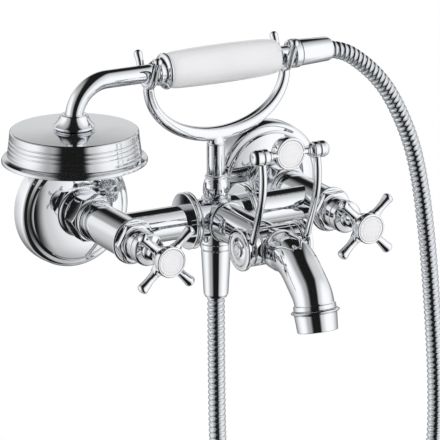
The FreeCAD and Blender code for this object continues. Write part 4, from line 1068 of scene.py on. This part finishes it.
head_axis = np.array((-head_offset, -bar_reach, 0))
head_bore = 6.6
crown_height = 75.2
head_radius = 42.2
head_flare = 1.4
first_rib = 69.2
rib_pitch = 2.9
rib_cuts = (0.4, 0.4, 0.3, 0.12)
rim_radius = 47.8
rim_bottom = 53.0
head_side = [(head_radius - 0.8, 74.3), (head_radius, 73.6)]
for k, cut in enumerate(rib_cuts):
    z = first_rib - k * rib_pitch
    radius = head_radius + head_flare * (k + 1) / len(rib_cuts)
    head_side += [(radius - 0.05, z + 0.3), (radius - cut, z - 0.35), (radius + 0.2, z - 0.9)]
head_rim = [
    (43.6, 57.4),
    (rim_radius - 0.6, 55.6, 44.6, 56.6),
    (rim_radius, 54.6),
    (rim_radius, rim_bottom + 0.4),
    (rim_radius - 0.6, rim_bottom),
    (rim_radius - 1.6, rim_bottom),
    (45.6, 54.6),
    (41.2, 57.0),
    (39.8, 72.6),
]
head_crown = [(head_bore, crown_height), (30.0, crown_height - 0.5)]
head_profile = head_crown + head_side + head_rim + [(head_bore, crown_height - 1.6)]
skin = revolved(head_profile, head_axis, upwards, 0.3, 192)
add_piece("shower_head", "handset", ["head_shell"], [skin], spun_chrome)
cone_profile = [
    (6.4, 0.1),
    (12.3, 0.1),
    (13.9, 1.4),
    (13.5, 2.2),
    (9.5, 7.6, 11.3, 4.5),
    (9.1, 9.1),
    (8.5, 9.7),
    (6.05, 9.7),
]
crown = head_axis + np.array((0, 0, crown_height))
add_piece("cone_nut", "handset", ["head_nut"], [revolved(cone_profile, crown, upwards)])


# Hose fittings: a nipple screwed into the body's lower boss, and two slim conical nuts, turned
# and plated, each with a mouth that clears the hose.
def nut_profile(big, small, start, length, nipple):
    """A slim cone with a chamfer at its small end and an open mouth."""
    end = start + length
    mouth_radius = 6.9
    bore = 3.9
    return [
        (nipple, start),
        (big - 0.5, start),
        (big, start + 0.6),
        (small, end - 2.2),
        (mouth_radius + 0.4, end),
        (mouth_radius, end),
        (mouth_radius, end - 4.0),
        (bore, end - 4.0),
        (bore, end - 6.0),
        (nipple, end - 6.0),
    ]


outlet_base = centre - np.array((0, 0, bottom_boss_height))
nipple_profile = [
    (3.9, -5.2),
    (7.9, -5.2),
    (7.9, 0.1),
    (10.2, 0.1),
    (10.7, 0.7),
    (10.7, 3.9),
    (10.1, 4.5),
    (7.9, 4.5),
    (7.9, 10.0),
    (3.9, 10.0),
]
supply_nut = nut_profile(big=10.1, small=8.4, start=4.6, length=34.0, nipple=8.1)
hand_nut = nut_profile(big=9.1, small=8.2, start=62.1, length=24.8, nipple=7.1)
add_piece("outlet_fitting", "mixer", ["outlet_nipple"], [revolved(nipple_profile, outlet_base, downwards)])
add_piece("supply_cone", "mixer", ["hose_nut_supply"], [revolved(supply_nut, outlet_base, downwards)])
add_piece("handset_cone", "handset", ["hose_nut_handset"], [revolved(hand_nut, grip_line, across)])


# Hose: interlocked strip wound on a liner, plated, 1.26 m long. It hangs from the outlet, makes a
# tied spare loop below the mixer, and climbs to the hand shower. The points are the route's own.
#
# Hose steel: interlocked strip, plated after winding, with fine draw lines that dull its mirror.
hose_steel, tree, shader, place = new_material("plated steel strip", "#DADDE1", 0.12, 1.0)
lines = add_node(tree, "ShaderNodeTexNoise", {"Vector": place, "Scale": spaced(1.2), "Detail": 3.0})
dullness = {"Value": lines, "To Min": 0.07, "To Max": 0.2}
add_node(tree, "ShaderNodeMapRange", dullness, shader.inputs["Roughness"])

loop_centre = np.array((90.0, -bar_reach, -272.0))
loop_radius = 66.0
loop_pitch = 12.6
loop_turns = 1.5
supply_route = [
    (0.0, -71.0, -52.5),
    (0.3, -71.0, -116.0),
    (1.8, -70.4, -174.0),
    (9.5, -66.5, -207.0),
    (24.0, -60.8, -247.0),
]
handset_route = [
    (156.0, -81.2, -247.0),
    (164.5, -80.0, -223.0),
    (172.4, -79.0, -196.0),
    (173.6, -77.4, -150.0),
    (170.9, -75.8, -99.6),
    (166.8, -74.0, -45.5),
    (160.4, -72.6, 2.5),
    (152.3, -71.8, 34.0),
    (138.0, -71.3, 64.0),
    (125.9, -71.1, 80.4),
    (110.6, -71.0, 94.2),
    (96.6, -71.0, 103.0),
    (83.4, -71.0, 105.0),
]
turns = np.linspace(0, loop_turns, 25)
angle = math.pi + 2 * math.pi * turns
loop_y = loop_pitch * (loop_turns / 2 - turns)
loop_route = loop_centre + np.stack([loop_radius * np.cos(angle), loop_y, loop_radius * np.sin(angle)], -1)
route = np.vstack([supply_route, loop_route, handset_route])
curve = bpy.data.curves.new("hose_route", "CURVE")
curve.dimensions = "3D"
curve.resolution_u = 24
spline = curve.splines.new("NURBS")
spline.points.add(len(route) - 1)
spline.points.foreach_set("co", np.column_stack([route * MM, np.ones(len(route))]).ravel())
spline.order_u = 3
spline.use_endpoint_u = True
route_object = bpy.data.objects.new("hose_route", curve)
route_mesh = bpy.data.meshes.new_from_object(route_object)
hose_line = np.array([v.co for v in route_mesh.vertices]) / MM
bpy.data.objects.remove(route_object)
hose_radius = 5.7
strip_crown = 0.25
strip_pitch = 3.95
strip_round = 0.3
strip_depth = 0.75
groove_power = 10
rings_per_strip = 10


def ribbed_tube(line, columns=24):
    """A tube whose radius falls in a narrow groove once per pitch, between slightly rounded strips.
    The groove leans by one pitch per turn round the hose, as a wound strip's does."""
    length = run_along(line)[-1]
    place = np.linspace(0, length, int(length / strip_pitch * rings_per_strip))
    spine = resampled(line, place)
    side, lift = squares(spine, np.array((0, 1.0, 0)))
    angle = np.linspace(0, 2 * math.pi, columns, endpoint=False)
    seam = np.abs(np.cos(math.pi * (place[:, None] / strip_pitch - angle / (2 * math.pi))))
    radius = hose_radius + strip_crown - strip_round * seam ** 2 - strip_depth * seam ** groove_power
    ring = np.cos(angle)[:, None] * side[:, None] + np.sin(angle)[:, None] * lift[:, None]
    return tube_grid(spine, radius[:, :, None] * ring), spine


tube, spine = ribbed_tube(hose_line)
hose_solids = ["hose_supply_run", "hose_loop", "hose_handset_run"]
hose = add_piece("shower_hose", None, hose_solids, [tube], hose_steel)
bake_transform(hose)


# Carried-over pieces: what shows only from behind, from below or through a gap keeps its solid
# shape, and takes the finish of its own metal, rubber or plastic.
#
# Brass: turned and left unplated where the wall hides it, with a brown stain in patches.
brass, tree, shader, place = new_material("turned brass", "#C9A45C", 0.3, 1.0)
stain = add_node(tree, "ShaderNodeTexNoise", {"Vector": place, "Scale": spaced(6), "Detail": 4.0})
tints = {0: stain, 6: linear("#D8B56A"), 7: linear("#A98443")}
add_node(tree, "ShaderNodeMix", tints, shader.inputs["Base Color"], output=2, data_type="RGBA")

# Steel: stainless screws and stays, drawn and pickled to an even satin grey.
steel, tree, shader, place = new_material("satin stainless steel", "#B9BCC0", 0.28, 1.0)
satin = add_node(tree, "ShaderNodeTexNoise", {"Vector": place, "Scale": spaced(1), "Detail": 2.0})
dullness = {"Value": satin, "To Min": 0.2, "To Max": 0.38}
add_node(tree, "ShaderNodeMapRange", dullness, shader.inputs["Roughness"])

# Silicone rubber: moulded nozzles and washers, matt grey with a slight bloom.
rubber, tree, shader, place = new_material("moulded silicone rubber", "#6E7074", 0.6)
bloom = add_node(tree, "ShaderNodeTexNoise", {"Vector": place, "Scale": spaced(2), "Detail": 3.0})
tints = {0: bloom, 6: linear("#66686C"), 7: linear("#7C7E82")}
add_node(tree, "ShaderNodeMix", tints, shader.inputs["Base Color"], output=2, data_type="RGBA")

# Grey plastic: the aerator insert and the hose's tie, moulded in filled acetal, fine and even.
acetal, tree, shader, place = new_material("moulded acetal", "#A9ACB0", 0.4)
grain = add_node(tree, "ShaderNodeTexNoise", {"Vector": place, "Scale": spaced(0.8), "Detail": 2.0})
relief = {"Height": grain, "Strength": 0.1, "Distance": 0.1 * MM}
add_node(tree, "ShaderNodeBump", relief, shader.inputs["Normal"])
finishes = {
    "supply_union": brass,
    "union_washer": rubber,
    "headwork": brass,
    "spindle": brass,
    "handle_screw": steel,
    "diverter_rotor": brass,
    "diverter_glands": brass,
    "grip_stay": steel,
    "head_backnut": brass,
    "spray_plate": chrome,
    "spray_nozzles": rubber,
    "aerator": acetal,
    "hose_washer": rubber,
    "hose_tie": acetal,
}
for node, carried_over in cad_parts.items():
    for start, finish in finishes.items():
        if node.startswith(start):
            for slot in carried_over.material_slots:
                slot.material = finish
